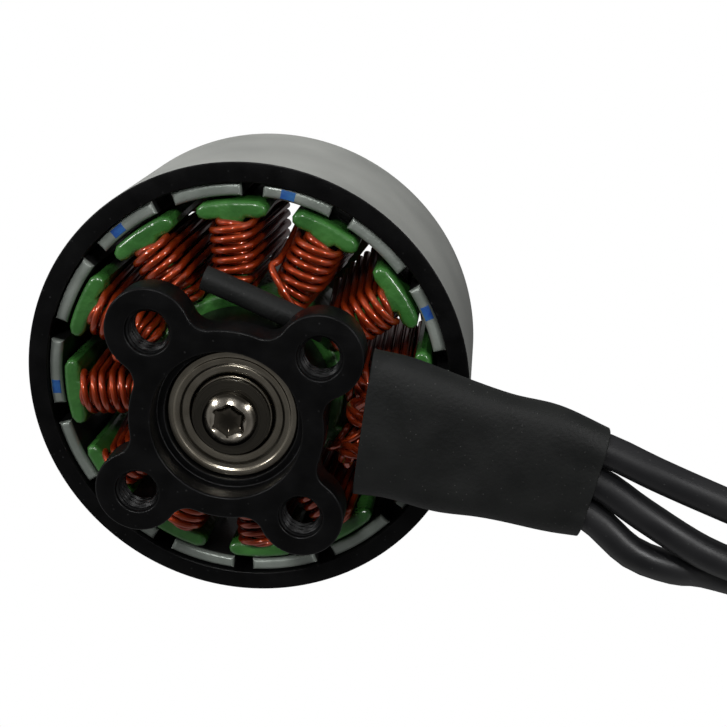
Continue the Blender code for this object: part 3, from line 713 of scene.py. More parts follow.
def joined(name, meshes):
    """Join meshes into one."""
    build = bmesh.new()
    for mesh in meshes:
        build.from_mesh(mesh)
        bpy.data.meshes.remove(mesh)
    result = bpy.data.meshes.new(name)
    build.to_mesh(result)
    build.free()
    result.set_sharp_from_angle(angle=radians(32))
    return result


def base_outline():
    """Outline of the four pads round the waist."""
    reach = WAIST_R + WAIST_FILLET
    side = PAD_R + WAIST_FILLET
    spread = acos((reach ** 2 + PAD_CIRCLE_R ** 2 - side ** 2) / (2 * reach * PAD_CIRCLE_R))
    lean = acos((side ** 2 + PAD_CIRCLE_R ** 2 - reach ** 2) / (2 * side * PAD_CIRCLE_R))
    outline = []
    for i in range(4):
        turn = (i + 0.5) * tau / 4
        outline += arc(polar(reach, turn - spread), WAIST_FILLET, turn - spread + pi, turn + lean,
                       10)[:-1]
        outline += arc(polar(PAD_CIRCLE_R, turn), PAD_R, turn - pi + lean, turn + pi - lean, 48)[:-1]
        outline += arc(polar(reach, turn + spread), WAIST_FILLET, turn - lean, turn + spread - pi,
                       10)[:-1]
        outline += arc((0.0, 0.0), WAIST_R, turn + spread, turn + tau / 4 - spread, 14)[:-1]
    return outline


pad_places = [polar(PAD_CIRCLE_R, tau * (i + 0.5) / 4) for i in range(4)]
base_holes = [circle(THREAD_MAJOR_R, 48, place) for place in pad_places]
base_plate = flat_plate("base_plate", [base_outline(), circle(COUNTERBORE_R, 120), *base_holes], 0.0,
                        PLATE_THICKNESS, PLATE_EASE)
base_profile = [(COUNTERBORE_R + 0.00005, COUNTERBORE_DEPTH), (NECK_R, COUNTERBORE_DEPTH),
                (NECK_R, NECK_TOP), (TUBE_R, NECK_TOP), (TUBE_R, BASE_HIGH.z),
                (BEARING_SEAT_R, BASE_HIGH.z), (BEARING_SEAT_R, BEARING_SEAT_BOTTOM),
                (TUBE_INNER_R, BEARING_SEAT_BOTTOM), (TUBE_INNER_R, TUBE_INNER_BOTTOM),
                (BEARING_SEAT_R, TUBE_INNER_BOTTOM), (BEARING_SEAT_R, COUNTERBORE_DEPTH)]
base_tube = turned("base_tube", eased(base_profile, TUBE_EASE))
base_threads = [threaded_wall("base_thread", place, PLATE_EASE, PLATE_THICKNESS - PLATE_EASE,
                              THREAD_MINOR_R, THREAD_MAJOR_R, THREAD_PITCH, inward=True)
                for place in pad_places]
base = add_piece("mounting_base", joined("mounting_base", [base_plate, base_tube, *base_threads]),
                 black_alloy)
seat(base, "stator", "black_base", "mount_base")

# Bearings: two shielded ball bearings of chrome steel, pressed into the tube's ends. Only the lower
# one is seen, in the counterbore: ground outer ring, stepped shield and ground inner ring.
BEARING_FACE = [(4.50, 0.16), (4.47, 0.08), (4.40, 0.03), (4.22, 0.02), (4.11, 0.035), (4.04, 0.065),
                (3.97, 0.125), (3.90, 0.145), (3.64, 0.145), (3.58, 0.125), (3.51, 0.055),
                (3.44, 0.025), (3.36, 0.02), (3.02, 0.03), (2.94, 0.07), (2.91, 0.30)]
BEARING_INNER_LAND_R = 0.0028
BEARING_BORE_R = 0.00205
BEARING_EASE = 0.00016

bearing_steel = new_finish("ground_bearing_steel", (0.40, 0.37, 0.32), 0.30, metallic=1.0)
add_grain(bearing_steel, drift=800.0, pits=9000.0, dark=(0.32, 0.285, 0.225), light=(0.44, 0.40, 0.325))
add_turning(bearing_steel, pitch=0.00007, wander=0.9, depth=0.0000015, rough=(0.17, 0.33))


def build_bearing(name, bottom, top, *nodes):
    """Outer ring, shields and inner ring of one bearing."""
    lower = [(radius / 1000, bottom + depth / 1000) for radius, depth in BEARING_FACE]
    upper = [(radius / 1000, top - depth / 1000) for radius, depth in BEARING_FACE]
    outer = turned(name, lower[::-1] + upper)
    inner = turned(name, eased([(BEARING_INNER_LAND_R, bottom), (BEARING_INNER_LAND_R, top),
                                (BEARING_BORE_R, top), (BEARING_BORE_R, bottom)], BEARING_EASE, 4))
    bearing = add_piece(name, joined(name, [outer, inner]), bearing_steel)
    seat(bearing, "stator", "bearing_steel", *nodes)


for place in ("lower", "upper"):
    race = place + "_bearing_outer_race"
    race_low, race_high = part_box(race)
    build_bearing(place + "_bearing", race_low.z, race_high.z, race, place + "_bearing_inner_race")

# Stator core: a stack of silicon steel laminations with twelve T-shaped teeth, under a thick green
# epoxy powder coat that rounds every edge.
TOOTH_COUNT = 12
TOOTH_PHASE = radians(19.7)
TIP_R = 0.0134
CORE_HUB_R = 0.00705
CORE_BORE_R = 0.00575
TOOTH_NECK_WIDTH = 0.0013
TOOTH_TIP_WIDTH = 0.0049
TIP_EDGE = 0.00118
TIP_ROOT = 0.00124
TIP_FILLET = 0.0003
COAT_ROUND = 0.00038
CORE_LOW, CORE_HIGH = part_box("stator_core")

green_coat = new_finish("green_epoxy_coat", (0.035, 0.14, 0.028), 0.30, specular=0.5, coat=0.5,
                        coat_roughness=0.12)
add_grain(green_coat, drift=420.0, pits=1900.0, dark=(0.026, 0.115, 0.020),
          light=(0.048, 0.185, 0.034), rough=(0.24, 0.4), depth=0.00003)


def core_outline():
    """Outline of the hub ring with its twelve T-shaped teeth."""
    neck = TOOTH_NECK_WIDTH / 2
    tip_turn = asin((TOOTH_TIP_WIDTH - TIP_EDGE * 0.8) / 2 / TIP_R)
    root_turn = asin(neck / CORE_HUB_R)
    outline = []
    for i in range(TOOTH_COUNT):
        turn = TOOTH_PHASE + i * tau / TOOTH_COUNT
        along = Vector(polar(1.0, turn))
        across = along.orthogonal()
        half = []
        for side in (-1, 1):
            end_turn = turn + side * tip_turn
            end_middle = Vector(polar(TIP_R - TIP_EDGE / 2, end_turn))
            swing = [end_middle + Vector(polar(TIP_EDGE / 2, end_turn + side * a))
                     for a in (0.7 * pi, 0.5 * pi, 0.3 * pi)]
            half.append([along * CORE_HUB_R * cos(root_turn) + across * side * neck,
                         along * (TIP_R - TIP_ROOT - TIP_FILLET) + across * side * neck,
                         along * (TIP_R - TIP_ROOT) + across * side * (neck + TIP_FILLET),
                         Vector(polar(TIP_R - TIP_EDGE, end_turn)), *swing])
        tip = arc((0.0, 0.0), TIP_R, turn - tip_turn, turn + tip_turn, 16)
        slot = arc((0.0, 0.0), CORE_HUB_R, turn + root_turn, turn + tau / TOOTH_COUNT - root_turn, 8)
        outline += half[0] + tip + half[1][::-1] + slot[1:-1]
    return outline


core_mesh = flat_plate("coated_core", [core_outline(), circle(CORE_BORE_R, 96)], CORE_LOW.z,
                       CORE_HIGH.z, COAT_ROUND, 5)
core = add_piece("coated_core", core_mesh, green_coat)
seat(core, "stator", "green_lamination", "stator_core")

# Windings: enamelled copper wire wound by machine round each tooth, one full layer and part of a
# second. The turns spread at the far end, where the slot is free, and every third coil's last turn
# is led off slanting to the hub.
WIRE_R = 0.00025
WIRE_GAP = 0.00006
TURN_PITCH = 0.00062
FIRST_LAYER_TURNS = 8
SECOND_LAYER_TURNS = 5
LAYER_RISE = 0.0005
LAYER_PITCH = 0.00069
WINDING_SIDE = TOOTH_NECK_WIDTH / 2 + WIRE_R + WIRE_GAP
WINDING_STRAIGHT = (CORE_HIGH.z - CORE_LOW.z) / 2 - 0.0004
WINDING_BULGE = 0.00082
WINDING_OUTER_R = TIP_R - TIP_ROOT - WIRE_R + 0.00034
WINDING_FAR_GAIN = 0.0008
BEND_POINTS = 11
WINDING_LEAD_OFF = [(0.0098, -0.0019, -0.0046), (0.0091, -0.0022, -0.0059),
                    (0.0083, -0.0010, -0.0066), (0.0074, 0.0004, -0.0064), (0.0072, 0.0009, -0.0057)]

enamelled_copper = new_finish("enamelled_copper", (0.46, 0.065, 0.016), 0.34, metallic=0.6,
                              specular=0.4, coat=0.9, coat_roughness=0.07)
copper_shader = enamelled_copper.node_tree.nodes["Principled BSDF"]
copper_shader.inputs["Specular Tint"].default_value = (0.6, 0.15, 0.06, 1.0)
copper_shader.inputs["Coat IOR"].default_value = 1.6
add_grain(enamelled_copper, drift=650.0, pits=5000.0, dark=(0.26, 0.026, 0.005),
          light=(0.40, 0.050, 0.010), rough=(0.28, 0.42), depth=0.000004)

winding_chance = Random(11)


def winding_turn(radius, side, bulge, advance, shift, lean=0.0):
    """Points of one turn round a tooth, as (radial, across, axial). Its far end fills the slot."""
    points = []
    slot_side = radius * tan(pi / TOOTH_COUNT) - WIRE_R - WIRE_GAP
    far_side = max(side, min(side + WINDING_FAR_GAIN, slot_side))
    for end, moved, slant, reach in ((1, 0.0, 0.3, far_side), (-1, 0.3, 0.7, side)):
        for k in range(BEND_POINTS):
            share = k / (BEND_POINTS - 1)
            angle = pi * share if end > 0 else pi * (1 + share)
            outward = shift + lean * sin(angle) ** 2 - advance * (moved + slant * share)
            points.append(Vector((radius + outward, reach * cos(angle),
                                  end * WINDING_STRAIGHT + bulge * sin(angle))))
    return points


def wound_coil(name, number):
    """Wire of one coil, with its own small unevenness."""
    points = []
    radius = WINDING_OUTER_R
    for turn in range(FIRST_LAYER_TURNS):
        shift = winding_chance.uniform(-0.00003, 0.00003)
        bulge = WINDING_BULGE + winding_chance.uniform(-0.00004, 0.00006)
        lean = max(0.0, 0.00012 - 0.00006 * turn)
        points += winding_turn(radius, WINDING_SIDE, bulge, TURN_PITCH, shift, lean)
        radius -= TURN_PITCH
    radius = WINDING_OUTER_R - TURN_PITCH * winding_chance.uniform(6.0, 6.3)
    for turn in range(SECOND_LAYER_TURNS):
        shift = winding_chance.uniform(-0.00007, 0.00007)
        bulge = WINDING_BULGE + LAYER_RISE + winding_chance.uniform(-0.00004, 0.00004)
        points += winding_turn(radius, WINDING_SIDE + LAYER_RISE, bulge, -LAYER_PITCH, shift)
        radius += LAYER_PITCH
    if number % 3 == 0:
        half_turn = winding_turn(radius, WINDING_SIDE + LAYER_RISE, bulge, 0.0, 0.0)[:BEND_POINTS]
        points += through([*half_turn, *WINDING_LEAD_OFF], FINE_SPACING)
    return swept(name, points, WIRE_R, enamelled_copper, resolution=3)


for number in range(TOOTH_COUNT):
    coil = wound_coil(f"tooth_winding_{number + 1:02d}", number)
    coil.location = (0.0, 0.0, (CORE_LOW.z + CORE_HIGH.z) / 2)
    coil.rotation_euler = (0.0, 0.0, TOOTH_PHASE + number * tau / TOOTH_COUNT)
    seat(coil, "stator", "copper", f"coil_{number + 1:02d}")

# Winding ends: the star point's joined wires lie under a thin black sleeve between two pads, and
# three bundles of bare enamelled wire run from the slots into the wide sleeve.
TAIL_SLEEVE_R = 0.00085
TAIL_SLEEVE_KNOTS = [(x, y, 0.00527) for x, y in ((-0.00323, -0.00840), (-0.00155, -0.00795),
                                                  (0.00198, -0.00692), (0.00436, -0.00623),
                                                  (0.00535, -0.00595))]
PHASE_WIRE_R = 0.00028
PHASE_LAY_R = PHASE_WIRE_R * 1.15
PHASE_STRANDS = 3
PHASE_TWIST = 0.05
PHASE_BUNDLES = [[(0.0078, -0.0044, 0.0064), (0.0076, -0.0037, 0.0050), (0.0082, -0.0032, 0.0032),
                  (0.0094, -0.0030, 0.0022), (0.0108, -0.0029, 0.0019)],
                 [(0.0086, -0.0008, 0.0064), (0.0078, -0.0009, 0.0050), (0.0081, -0.0010, 0.0032),
                  (0.0094, -0.0011, 0.0022), (0.0108, -0.0011, 0.0019)],
                 [(0.0080, 0.0036, 0.0064), (0.0076, 0.0026, 0.0050), (0.0081, 0.0015, 0.0032),
                  (0.0094, 0.0011, 0.0022), (0.0108, 0.0010, 0.0019)]]

tail = swept("winding_tail_tube", through(TAIL_SLEEVE_KNOTS, FINE_SPACING), TAIL_SLEEVE_R,
             shrink_tube, resolution=5)
seat(tail, "stator", "shrink_tube", "winding_tail_sleeve")

for number, knots in enumerate(PHASE_BUNDLES):
    line = through(knots, FINE_SPACING)
    for strand in range(PHASE_STRANDS):
        turns = [strand / PHASE_STRANDS + i * PHASE_TWIST for i in range(len(line))]
        twist = [point + Vector((0.0, *polar(PHASE_LAY_R, tau * turn)))
                 for point, turn in zip(line, turns)]
        phase_wire = swept(f"phase_wire_{number + 1}_{strand + 1}", twist, PHASE_WIRE_R,
                           enamelled_copper, resolution=2)
        seat(phase_wire, "stator", "copper")

# Bell ring: a turned steel tube that closes the magnets' field. Its outside is coated matt grey, and
# its end face and bore are black.
RING_LOW, RING_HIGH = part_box("flux_ring")
RING_R = RING_HIGH.x
RING_INNER_R = RING_R - 0.00138
RING_EASE = 0.0001

ring_grey = new_finish("matt_grey_coat", (0.21, 0.215, 0.20), 0.6, specular=0.12)
add_grain(ring_grey, drift=160.0, pits=8000.0, dark=(0.225, 0.23, 0.217), light=(0.285, 0.29, 0.273),
          rough=(0.48, 0.62), depth=0.000006)
add_turning(ring_grey, pitch=0.00018, wander=0.8, depth=0.000002)
add_wear_and_painted_highlight(ring_grey, width=0.0002, scale=1500.0, colour=(0.42, 0.42, 0.40))

ring_profile = [(RING_R, RING_LOW.z), (RING_R, RING_HIGH.z), (RING_INNER_R, RING_HIGH.z),
                (RING_INNER_R, RING_LOW.z)]
ring = add_piece("bell_ring", turned("bell_ring", eased(ring_profile, RING_EASE), 200),
                 ring_grey, black_alloy)
for face in ring.data.polygons:
    outside = Vector(face.center[:2]).length > RING_R - RING_EASE * 0.1
    face.material_index = 0 if outside else 1
seat(ring, "rotor", "ring_grey", "flux_ring")

# Magnets: fourteen curved bars of sintered neodymium with a nickel finish, bonded in the ring with
# alternating poles. Five of those with the same pole outward have a dab of blue ink on their end.
MAGNET_COUNT = 14
MAGNET_LOW, MAGNET_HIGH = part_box("magnet_01")
MAGNET_OUTER_R = 0.01456
MAGNET_INNER_R = 0.01366
MAGNET_WIDTH = 0.0050
MAGNET_PHASE = radians(-4.1)
MAGNET_ROUND = 0.0003
MARK_SHARES = {2: 0.2, 8: -0.23, 10: -0.13, 12: -0.14, 14: -0.10}
MARK_HALF_TURN = 0.036
MARK_MARGIN = 0.00014
MARK_LIFT = 0.00001
MARK_DEPTH = 0.00008
MARK_EASE = 0.00004


def make_painted_depth_shade():
    """Painted depth shade: a mask, 0 at a part's near end and 1 behind it, along the motor's axis in
    object space.
    """
    group, given, result, place = start_group("painted_depth_shade", {"Start": 0.0, "End": 0.001}, ["Mask"])
    split = add_node(group, "ShaderNodeSeparateXYZ", {"Vector": place})
    fade = add_node(group, "ShaderNodeMapRange", {"Value": split.outputs["Z"],
                                                  "From Min": given["Start"], "From Max": given["End"]})
    fade.interpolation_type = "SMOOTHSTEP"
    group.links.new(fade.outputs["Result"], result["Mask"])
    return group


painted_depth_shade = make_painted_depth_shade()


def add_painted_shade(material, start, end, colour):
    """Paint shade on a finish behind a part's near end."""
    feed_colour(material, add_group(material, painted_depth_shade, Start=start, End=end).outputs["Mask"], colour)


nickel = new_finish("magnet_nickel", (0.27, 0.30, 0.27), 0.38, metallic=0.3, coat=0.35,
                    coat_roughness=0.14)
add_grain(nickel, drift=520.0, pits=6500.0, dark=(0.21, 0.24, 0.21), light=(0.30, 0.33, 0.30),
          rough=(0.28, 0.5), depth=0.00001)
# The lighter edges of the end faces are a painted highlight.
add_wear_and_painted_highlight(nickel, width=0.00012, scale=3000.0, colour=(0.55, 0.57, 0.54))
# The bars' sides behind the end face are painted near black, as shade down the bore between the
# magnets.
add_painted_shade(nickel, MAGNET_LOW.z + 0.00022, MAGNET_LOW.z + 0.0005, (0.012, 0.012, 0.012))

blue_ink = new_finish("blue_ink", (0.012, 0.085, 0.36), 0.45, specular=0.4)
add_grain(blue_ink, drift=1300.0, pits=7000.0, dark=(0.006, 0.045, 0.28), light=(0.035, 0.15, 0.38),
          depth=0.000008)


def curved_bar(inner_r, outer_r, middle, half):
    """Outline of a bar that follows the ring on both sides of a middle angle."""
    return (arc((0.0, 0.0), outer_r, middle - half, middle + half, 14)
            + arc((0.0, 0.0), inner_r, middle + half, middle - half, 14))


half_magnet = asin(MAGNET_WIDTH / 2 / MAGNET_OUTER_R)
for number in range(MAGNET_COUNT):
    name = f"magnet_{number + 1:02d}"
    middle = MAGNET_PHASE + number * tau / MAGNET_COUNT
    bar = curved_bar(MAGNET_INNER_R, MAGNET_OUTER_R, middle, half_magnet)
    magnet_mesh = flat_plate(name + "_bar", [bar], MAGNET_LOW.z, MAGNET_HIGH.z, MAGNET_ROUND)
    seat(add_piece(name + "_bar", magnet_mesh, nickel), "rotor", "magnet", name)
    if number + 1 in MARK_SHARES:
        dab = curved_bar(MAGNET_INNER_R + MARK_MARGIN, MAGNET_OUTER_R - MARK_MARGIN,
                         middle + MARK_SHARES[number + 1] * 2 * half_magnet, MARK_HALF_TURN)
        mark_mesh = flat_plate(name + "_mark", [dab], MAGNET_LOW.z - MARK_LIFT,
                               MAGNET_LOW.z + MARK_DEPTH, MARK_EASE)
        seat(add_piece(name + "_mark", mark_mesh, blue_ink), "rotor", "magnet")

# Bell cap: turned aluminium spider pressed into the ring, with six spokes and a hub for the shaft.
CAP_LOW, CAP_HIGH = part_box("bell_cap")
CAP_R = CAP_HIGH.x
CAP_BAND_INNER_R = CAP_R - 0.0019
CAP_WEB_TOP = RING_HIGH.z + 0.0030
CAP_WEB_BOTTOM = CAP_WEB_TOP - 0.0017
CAP_HUB_R = 0.0049
CAP_BORE_R = 0.0021
CAP_COUNTERBORE_R = 0.0027
CAP_COUNTERBORE_DEPTH = 0.0005
CAP_BOSS_R = 0.0029
SPOKE_COUNT = 6
SPOKE_WIDTH = 0.0027
VENT_CORNER_R = 0.0008
VENT_INNER_R = CAP_HUB_R + 0.0008 + VENT_CORNER_R
VENT_OUTER_R = CAP_BAND_INNER_R - 0.0004 - VENT_CORNER_R
CAP_BAND_BOTTOM = 0.0209
CAP_EASE = 0.00025

cap_alloy = new_finish("turned_bell_alloy", (0.30, 0.30, 0.29), 0.36, metallic=1.0)
add_grain(cap_alloy, drift=300.0, pits=8000.0, dark=(0.25, 0.25, 0.245), light=(0.34, 0.34, 0.33))
add_turning(cap_alloy, pitch=0.00012, wander=0.9, depth=0.000003, rough=(0.26, 0.46))
add_wear_and_painted_highlight(cap_alloy, width=0.00015, scale=2500.0, colour=(0.62, 0.62, 0.60))


def vent_outlines():
    """Outlines of the vents between the spokes, with round corners."""
    half = pi / SPOKE_COUNT
    inner_turn, outer_turn = [half - asin((SPOKE_WIDTH / 2 + VENT_CORNER_R) / radius)
                              for radius in (VENT_INNER_R, VENT_OUTER_R)]
    outlines = []
    for i in range(SPOKE_COUNT):
        turn = (i + 0.5) * tau / SPOKE_COUNT
        flanks = []
        for side in (1, -1):
            inner = polar(VENT_INNER_R, turn + side * inner_turn)
            outer = polar(VENT_OUTER_R, turn + side * outer_turn)
            square = turn + side * (half + pi / 2)
            flanks.append(arc(inner, VENT_CORNER_R, turn + side * (inner_turn + pi), square, 8)
                          + arc(outer, VENT_CORNER_R, square, turn + side * outer_turn, 8))
        rim = arc((0.0, 0.0), VENT_OUTER_R + VENT_CORNER_R, turn + outer_turn, turn - outer_turn, 12)
        outlines.append(flanks[0] + rim[1:-1] + flanks[1][::-1])
    return outlines


cap_profile = [(CAP_HUB_R, CAP_HIGH.z), (CAP_HUB_R + 0.0004, CAP_WEB_TOP),
               (CAP_BAND_INNER_R + 0.0008, RING_HIGH.z + 0.0004), (CAP_R, RING_HIGH.z),
               (CAP_R, CAP_LOW.z + 0.0006), (CAP_R, CAP_BAND_BOTTOM),
               (CAP_BAND_INNER_R, CAP_BAND_BOTTOM),
               (CAP_BAND_INNER_R - 0.0004, CAP_BAND_BOTTOM + 0.0004),
               (CAP_HUB_R - 0.0004, CAP_WEB_BOTTOM), (CAP_BOSS_R, CAP_LOW.z + 0.0010),
               (CAP_BOSS_R, CAP_LOW.z), (CAP_BORE_R, CAP_LOW.z),
               (CAP_BORE_R, CAP_HIGH.z - CAP_COUNTERBORE_DEPTH),
               (CAP_COUNTERBORE_R, CAP_HIGH.z - CAP_COUNTERBORE_DEPTH), (CAP_COUNTERBORE_R, CAP_HIGH.z)]
cap = add_piece("bell_spider", turned("bell_spider", eased(cap_profile, CAP_EASE)), cap_alloy)
vent_mesh = flat_plate("vent_cutter", vent_outlines(), CAP_LOW.z, CAP_HIGH.z + 0.001, 0.0)
vent_cutter = bpy.data.objects.new("vent_cutter", vent_mesh)
bpy.context.scene.collection.objects.link(vent_cutter)
cut = cap.modifiers.new("Vents", "BOOLEAN")
cut.operation = "DIFFERENCE"
cut.solver = "EXACT"
cut.object = vent_cutter
cap_graph = bpy.context.evaluated_depsgraph_get()
cut_mesh = bpy.data.meshes.new_from_object(cap.evaluated_get(cap_graph))
cap.modifiers.clear()
cap.data = cut_mesh
bpy.data.objects.remove(vent_cutter, do_unlink=True)
cut_mesh.set_sharp_from_angle(angle=radians(32))
seat(cap, "rotor", "bell_alloy", "bell_cap")

# Shaft: ground steel, plain in the bearings, with a rolled thread for the propeller.
SHAFT_LOW, SHAFT_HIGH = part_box("shaft")
SHAFT_R = 0.0020
SHAFT_EASE = 0.0001
PROP_THREAD_R = 0.0025
PROP_THREAD_ROOT_R = 0.00212
PROP_THREAD_PITCH = 0.0008
PROP_SHOULDER = CAP_HIGH.z - CAP_COUNTERBORE_DEPTH
THREAD_START = CAP_HIGH.z + 0.0006
THREAD_END = SHAFT_HIGH.z - 0.0004

shaft_steel = new_finish("shaft_steel", (0.34, 0.335, 0.33), 0.26, metallic=1.0)
add_grain(shaft_steel, drift=500.0, pits=9000.0, dark=(0.28, 0.275, 0.27),
          light=(0.40, 0.395, 0.385), rough=(0.2, 0.34), depth=0.000003)
add_wear_and_painted_highlight(shaft_steel, width=0.00008, scale=4000.0, colour=(0.65, 0.64, 0.62))

shaft_profile = [(0.0, SHAFT_LOW.z), (SHAFT_R, SHAFT_LOW.z), (SHAFT_R, PROP_SHOULDER),
                 (PROP_THREAD_R, PROP_SHOULDER), (PROP_THREAD_R, THREAD_START),
                 (PROP_THREAD_ROOT_R, THREAD_START + 0.0002), (PROP_THREAD_ROOT_R, SHAFT_HIGH.z),
                 (0.0, SHAFT_HIGH.z)]
shaft_body = turned("shaft_body", eased(shaft_profile, SHAFT_EASE), 72)
shaft_thread = threaded_wall("shaft_thread", (0.0, 0.0), THREAD_START, THREAD_END, PROP_THREAD_R,
                             PROP_THREAD_ROOT_R - 0.00001, PROP_THREAD_PITCH, around=72)
shaft = add_piece("motor_shaft", joined("motor_shaft", [shaft_body, shaft_thread]), shaft_steel)
seat(shaft, "rotor", "screw_steel", "shaft")

# Retaining washer and screw: a thin dark washer over the inner ring, held by a low button head
# screw with a hexagon socket in the shaft's end.
WASHER_LOW, WASHER_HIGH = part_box("retaining_washer")
WASHER_R = WASHER_HIGH.x
WASHER_EASE = 0.00007
SCREW_LOW, SCREW_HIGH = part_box("retaining_screw")
SCREW_HEAD_R = SCREW_HIGH.x
SCREW_SEAT = WASHER_LOW.z - 0.00002
SCREW_FLAT_R = 0.00125
SCREW_DOME_R = 0.0028
SCREW_SHANK_R = 0.00095
HEX_FLAT_R = 0.00098
HEX_DEPTH = 0.0003
HEX_MOUTH = 0.00018
SOCKET_DISH_R = 0.0014
SOCKET_DISH_SHARES = (0.12, 0.25, 0.38, 0.5, 0.62, 0.74, 0.86)
HEX_CHAMFER = ((0.5, 0.00008), (0.92, 0.00001))
SCREW_AROUND = 96
CROWN_ROWS = 14

washer_steel = new_finish("blackened_washer", (0.04, 0.036, 0.028), 0.26, metallic=0.8, coat=0.5)
washer_rings = add_turning(washer_steel, pitch=0.00009, wander=0.9, depth=0.000002, rough=(0.24, 0.42))
feed_colour(washer_steel, washer_rings, (0.070, 0.062, 0.047), (0.034, 0.029, 0.021))

washer_profile = [(WASHER_R, WASHER_LOW.z), (WASHER_R, WASHER_HIGH.z),
                  (SCREW_SHANK_R, WASHER_HIGH.z), (SCREW_SHANK_R, WASHER_LOW.z)]
washer = add_piece("screw_washer", turned("screw_washer", eased(washer_profile, WASHER_EASE)),
                   washer_steel)
seat(washer, "rotor", "screw_steel", "retaining_washer")

screw_steel = new_finish("polished_screw_steel", (0.40, 0.375, 0.34), 0.17, metallic=1.0)
add_grain(screw_steel, drift=1100.0, pits=8000.0, dark=(0.30, 0.27, 0.22), light=(0.43, 0.395, 0.34),
          rough=(0.1, 0.26), depth=0.0000015)
# The socket's walls and floor are painted darker, as shade in the recess.
add_painted_shade(screw_steel, SCREW_LOW.z + 0.00016, SCREW_LOW.z + 0.0003, (0.075, 0.066, 0.052))


def build_screw():
    """Button head with its hexagon socket, and the shank in the shaft."""
    build = bmesh.new()
    face = SCREW_LOW.z
    dish = (SOCKET_DISH_R ** 2 - HEX_FLAT_R ** 2) ** 0.5
    rows = []
    for share in SOCKET_DISH_SHARES:
        lift = (SOCKET_DISH_R ** 2 - (HEX_FLAT_R * share) ** 2) ** 0.5 - dish
        rows.append(("hex", share, face + HEX_DEPTH + lift))
    rows += [("hex", 1.0, face + HEX_DEPTH), ("hex", 1.0, face + HEX_MOUTH),
             *[("mix", share, face + depth) for share, depth in HEX_CHAMFER],
             ("round", SCREW_FLAT_R, face)]
    crown = (SCREW_DOME_R ** 2 - SCREW_FLAT_R ** 2) ** 0.5
    for i in range(1, CROWN_ROWS + 1):
        radius = SCREW_FLAT_R + (SCREW_HEAD_R - SCREW_FLAT_R) * i / CROWN_ROWS
        rows.append(("round", radius, face + crown - (SCREW_DOME_R ** 2 - radius ** 2) ** 0.5))
    rows += [("round", SCREW_HEAD_R, SCREW_SEAT), ("round", SCREW_SHANK_R, SCREW_SEAT),
             ("round", SCREW_SHANK_R, SCREW_HIGH.z)]
    rings = []
    for kind, size, height in rows:
        ring = []
        for i in range(SCREW_AROUND):
            angle = tau * i / SCREW_AROUND
            hexagon = HEX_FLAT_R / cos((angle + pi / 6) % (pi / 3) - pi / 6)
            radius = {"hex": hexagon * size, "mix": hexagon * (1 - size) + SCREW_FLAT_R * size,
                      "round": size}[kind]
            ring.append(build.verts.new((*polar(radius, angle), height)))
        rings.append(ring)
    skin(build, rings)
    socket_floor = face + HEX_DEPTH + SOCKET_DISH_R - dish
    for ring, height in ((rings[0][::-1], socket_floor), (rings[-1], SCREW_HIGH.z)):
        middle = build.verts.new((0.0, 0.0, height))
        for i in range(SCREW_AROUND):
            build.faces.new((ring[i], ring[(i + 1) % SCREW_AROUND], middle))
    return add_piece("button_screw", mesh_from("button_screw", build, 30), screw_steel)


screw = build_screw()
seat(screw, "rotor", "screw_steel", "retaining_screw")

# Floor: a pale sheet on which the motor stands. The photograph looks up through its place, so it
# shows from above only.
FLOOR_REACH = 0.9
FLOOR_DROP = 0.0003
FLOOR_TONE = 0.93
FLOOR_GLOW = 0.5

floor_material = bpy.data.materials.new("pale_floor")
floor_material.use_nodes = True
floor_tree = floor_material.node_tree
floor_tree.nodes.clear()
floor_sheet = add_node(floor_tree, "ShaderNodeBsdfDiffuse", {"Color": (*[FLOOR_TONE] * 3, 1.0)})
floor_glow = add_node(floor_tree, "ShaderNodeEmission", {"Strength": FLOOR_GLOW})
floor_lit = add_node(floor_tree, "ShaderNodeAddShader", {0: floor_sheet.outputs["BSDF"],
                                                         1: floor_glow.outputs["Emission"]})
floor_clear = add_node(floor_tree, "ShaderNodeBsdfTransparent")
floor_rays = add_node(floor_tree, "ShaderNodeLightPath").outputs["Is Camera Ray"]
floor_under = add_node(floor_tree, "ShaderNodeNewGeometry").outputs["Backfacing"]
floor_top = add_node(floor_tree, "ShaderNodeMath", {0: floor_rays, 1: floor_under})
floor_top.operation = "SUBTRACT"
floor_top.use_clamp = True
floor_choice = add_node(floor_tree, "ShaderNodeMixShader", {"Fac": floor_top.outputs["Value"],
                                                            1: floor_clear.outputs["BSDF"],
                                                            2: floor_lit.outputs["Shader"]})
add_node(floor_tree, "ShaderNodeOutputMaterial", {"Surface": floor_choice.outputs["Shader"]})

floor_mesh = bpy.data.meshes.new("floor_sheet")
floor_mesh.from_pydata([(x * FLOOR_REACH, y * FLOOR_REACH, -FLOOR_DROP)
                        for x, y in ((-1, -1), (1, -1), (1, 1), (-1, 1))], [], [(0, 1, 2, 3)])
floor_piece = add_piece("floor_sheet", floor_mesh, floor_material)

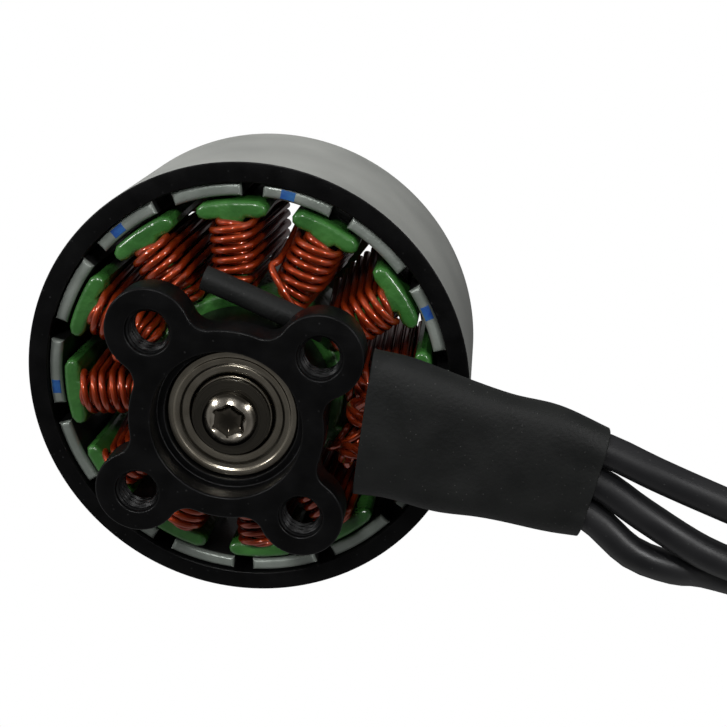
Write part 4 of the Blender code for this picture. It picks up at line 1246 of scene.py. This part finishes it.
# Light: a dim surround that brightens upwards, three small ceiling lamps on the side to which the
# mounting face looks, and two large softboxes that reflections leave out.
SURROUND_ABOVE = 0.45
SURROUND_BELOW = 0.11
SURROUND_SOFT = 0.07
SOFTBOXES = [("left_lamp", (-0.79, -0.36, -0.50), 0.45, 0.050, 0.62, True),
             ("front_lamp", (-0.12, -0.54, -0.83), 0.45, 0.050, 0.62, True),
             ("right_lamp", (0.68, -0.45, -0.58), 0.45, 0.050, 0.62, True),
             ("side_softbox", (-0.38, -0.92, 0.06), 0.6, 0.4, 3.0, False),
             ("overhead_softbox", (-0.25, -0.35, 0.9), 0.7, 0.5, 1.7, False)]
LAMP_AIM = Vector((0.0, 0.0, 0.01))

world = bpy.data.worlds.new("studio")
bpy.context.scene.world = world
world.use_nodes = True
world_tree = world.node_tree
surround = world_tree.nodes["Background"]
surround.inputs["Color"].default_value = (1.0, 1.0, 1.0, 1.0)
world_rays = add_node(world_tree, "ShaderNodeLightPath").outputs
world_way = add_node(world_tree, "ShaderNodeTexCoord").outputs["Generated"]
world_up = add_node(world_tree, "ShaderNodeSeparateXYZ", {"Vector": world_way}).outputs["Z"]
world_height = add_node(world_tree, "ShaderNodeMapRange", {
    "Value": world_up, "From Min": -0.95, "From Max": 0.1, "To Min": SURROUND_BELOW,
    "To Max": SURROUND_ABOVE})
world_height.interpolation_type = "SMOOTHSTEP"
world_top = add_node(world_tree, "ShaderNodeMapRange", {
    "Value": world_up, "From Min": 0.15, "From Max": 0.6, "To Min": 1.0, "To Max": 0.3})
world_band = link_math(world_tree, "MULTIPLY", world_height.outputs["Result"],
                       world_top.outputs["Result"])
world_gloss = add_node(world_tree, "ShaderNodeMix", {"Factor": world_rays["Is Glossy Ray"],
                                                     "A": SURROUND_SOFT, "B": world_band})
world_seen = add_node(world_tree, "ShaderNodeMix", {"Factor": world_rays["Is Camera Ray"],
                                                    "A": world_gloss.outputs["Result"], "B": 1.0})
world_tree.links.new(world_seen.outputs["Result"], surround.inputs["Strength"])

for lamp_name, way, distance, size, power, mirrored in SOFTBOXES:
    lamp_data = bpy.data.lights.new(lamp_name, "AREA")
    lamp_data.size = size
    lamp_data.energy = power
    lamp = bpy.data.objects.new(lamp_name, lamp_data)
    bpy.context.scene.collection.objects.link(lamp)
    direction = Vector(way).normalized()
    lamp.location = LAMP_AIM + direction * distance
    lamp.rotation_euler = (-direction).to_track_quat("-Z", "Y").to_euler()
    lamp.visible_glossy = mirrored

bpy.context.scene.view_settings.view_transform = "Standard"
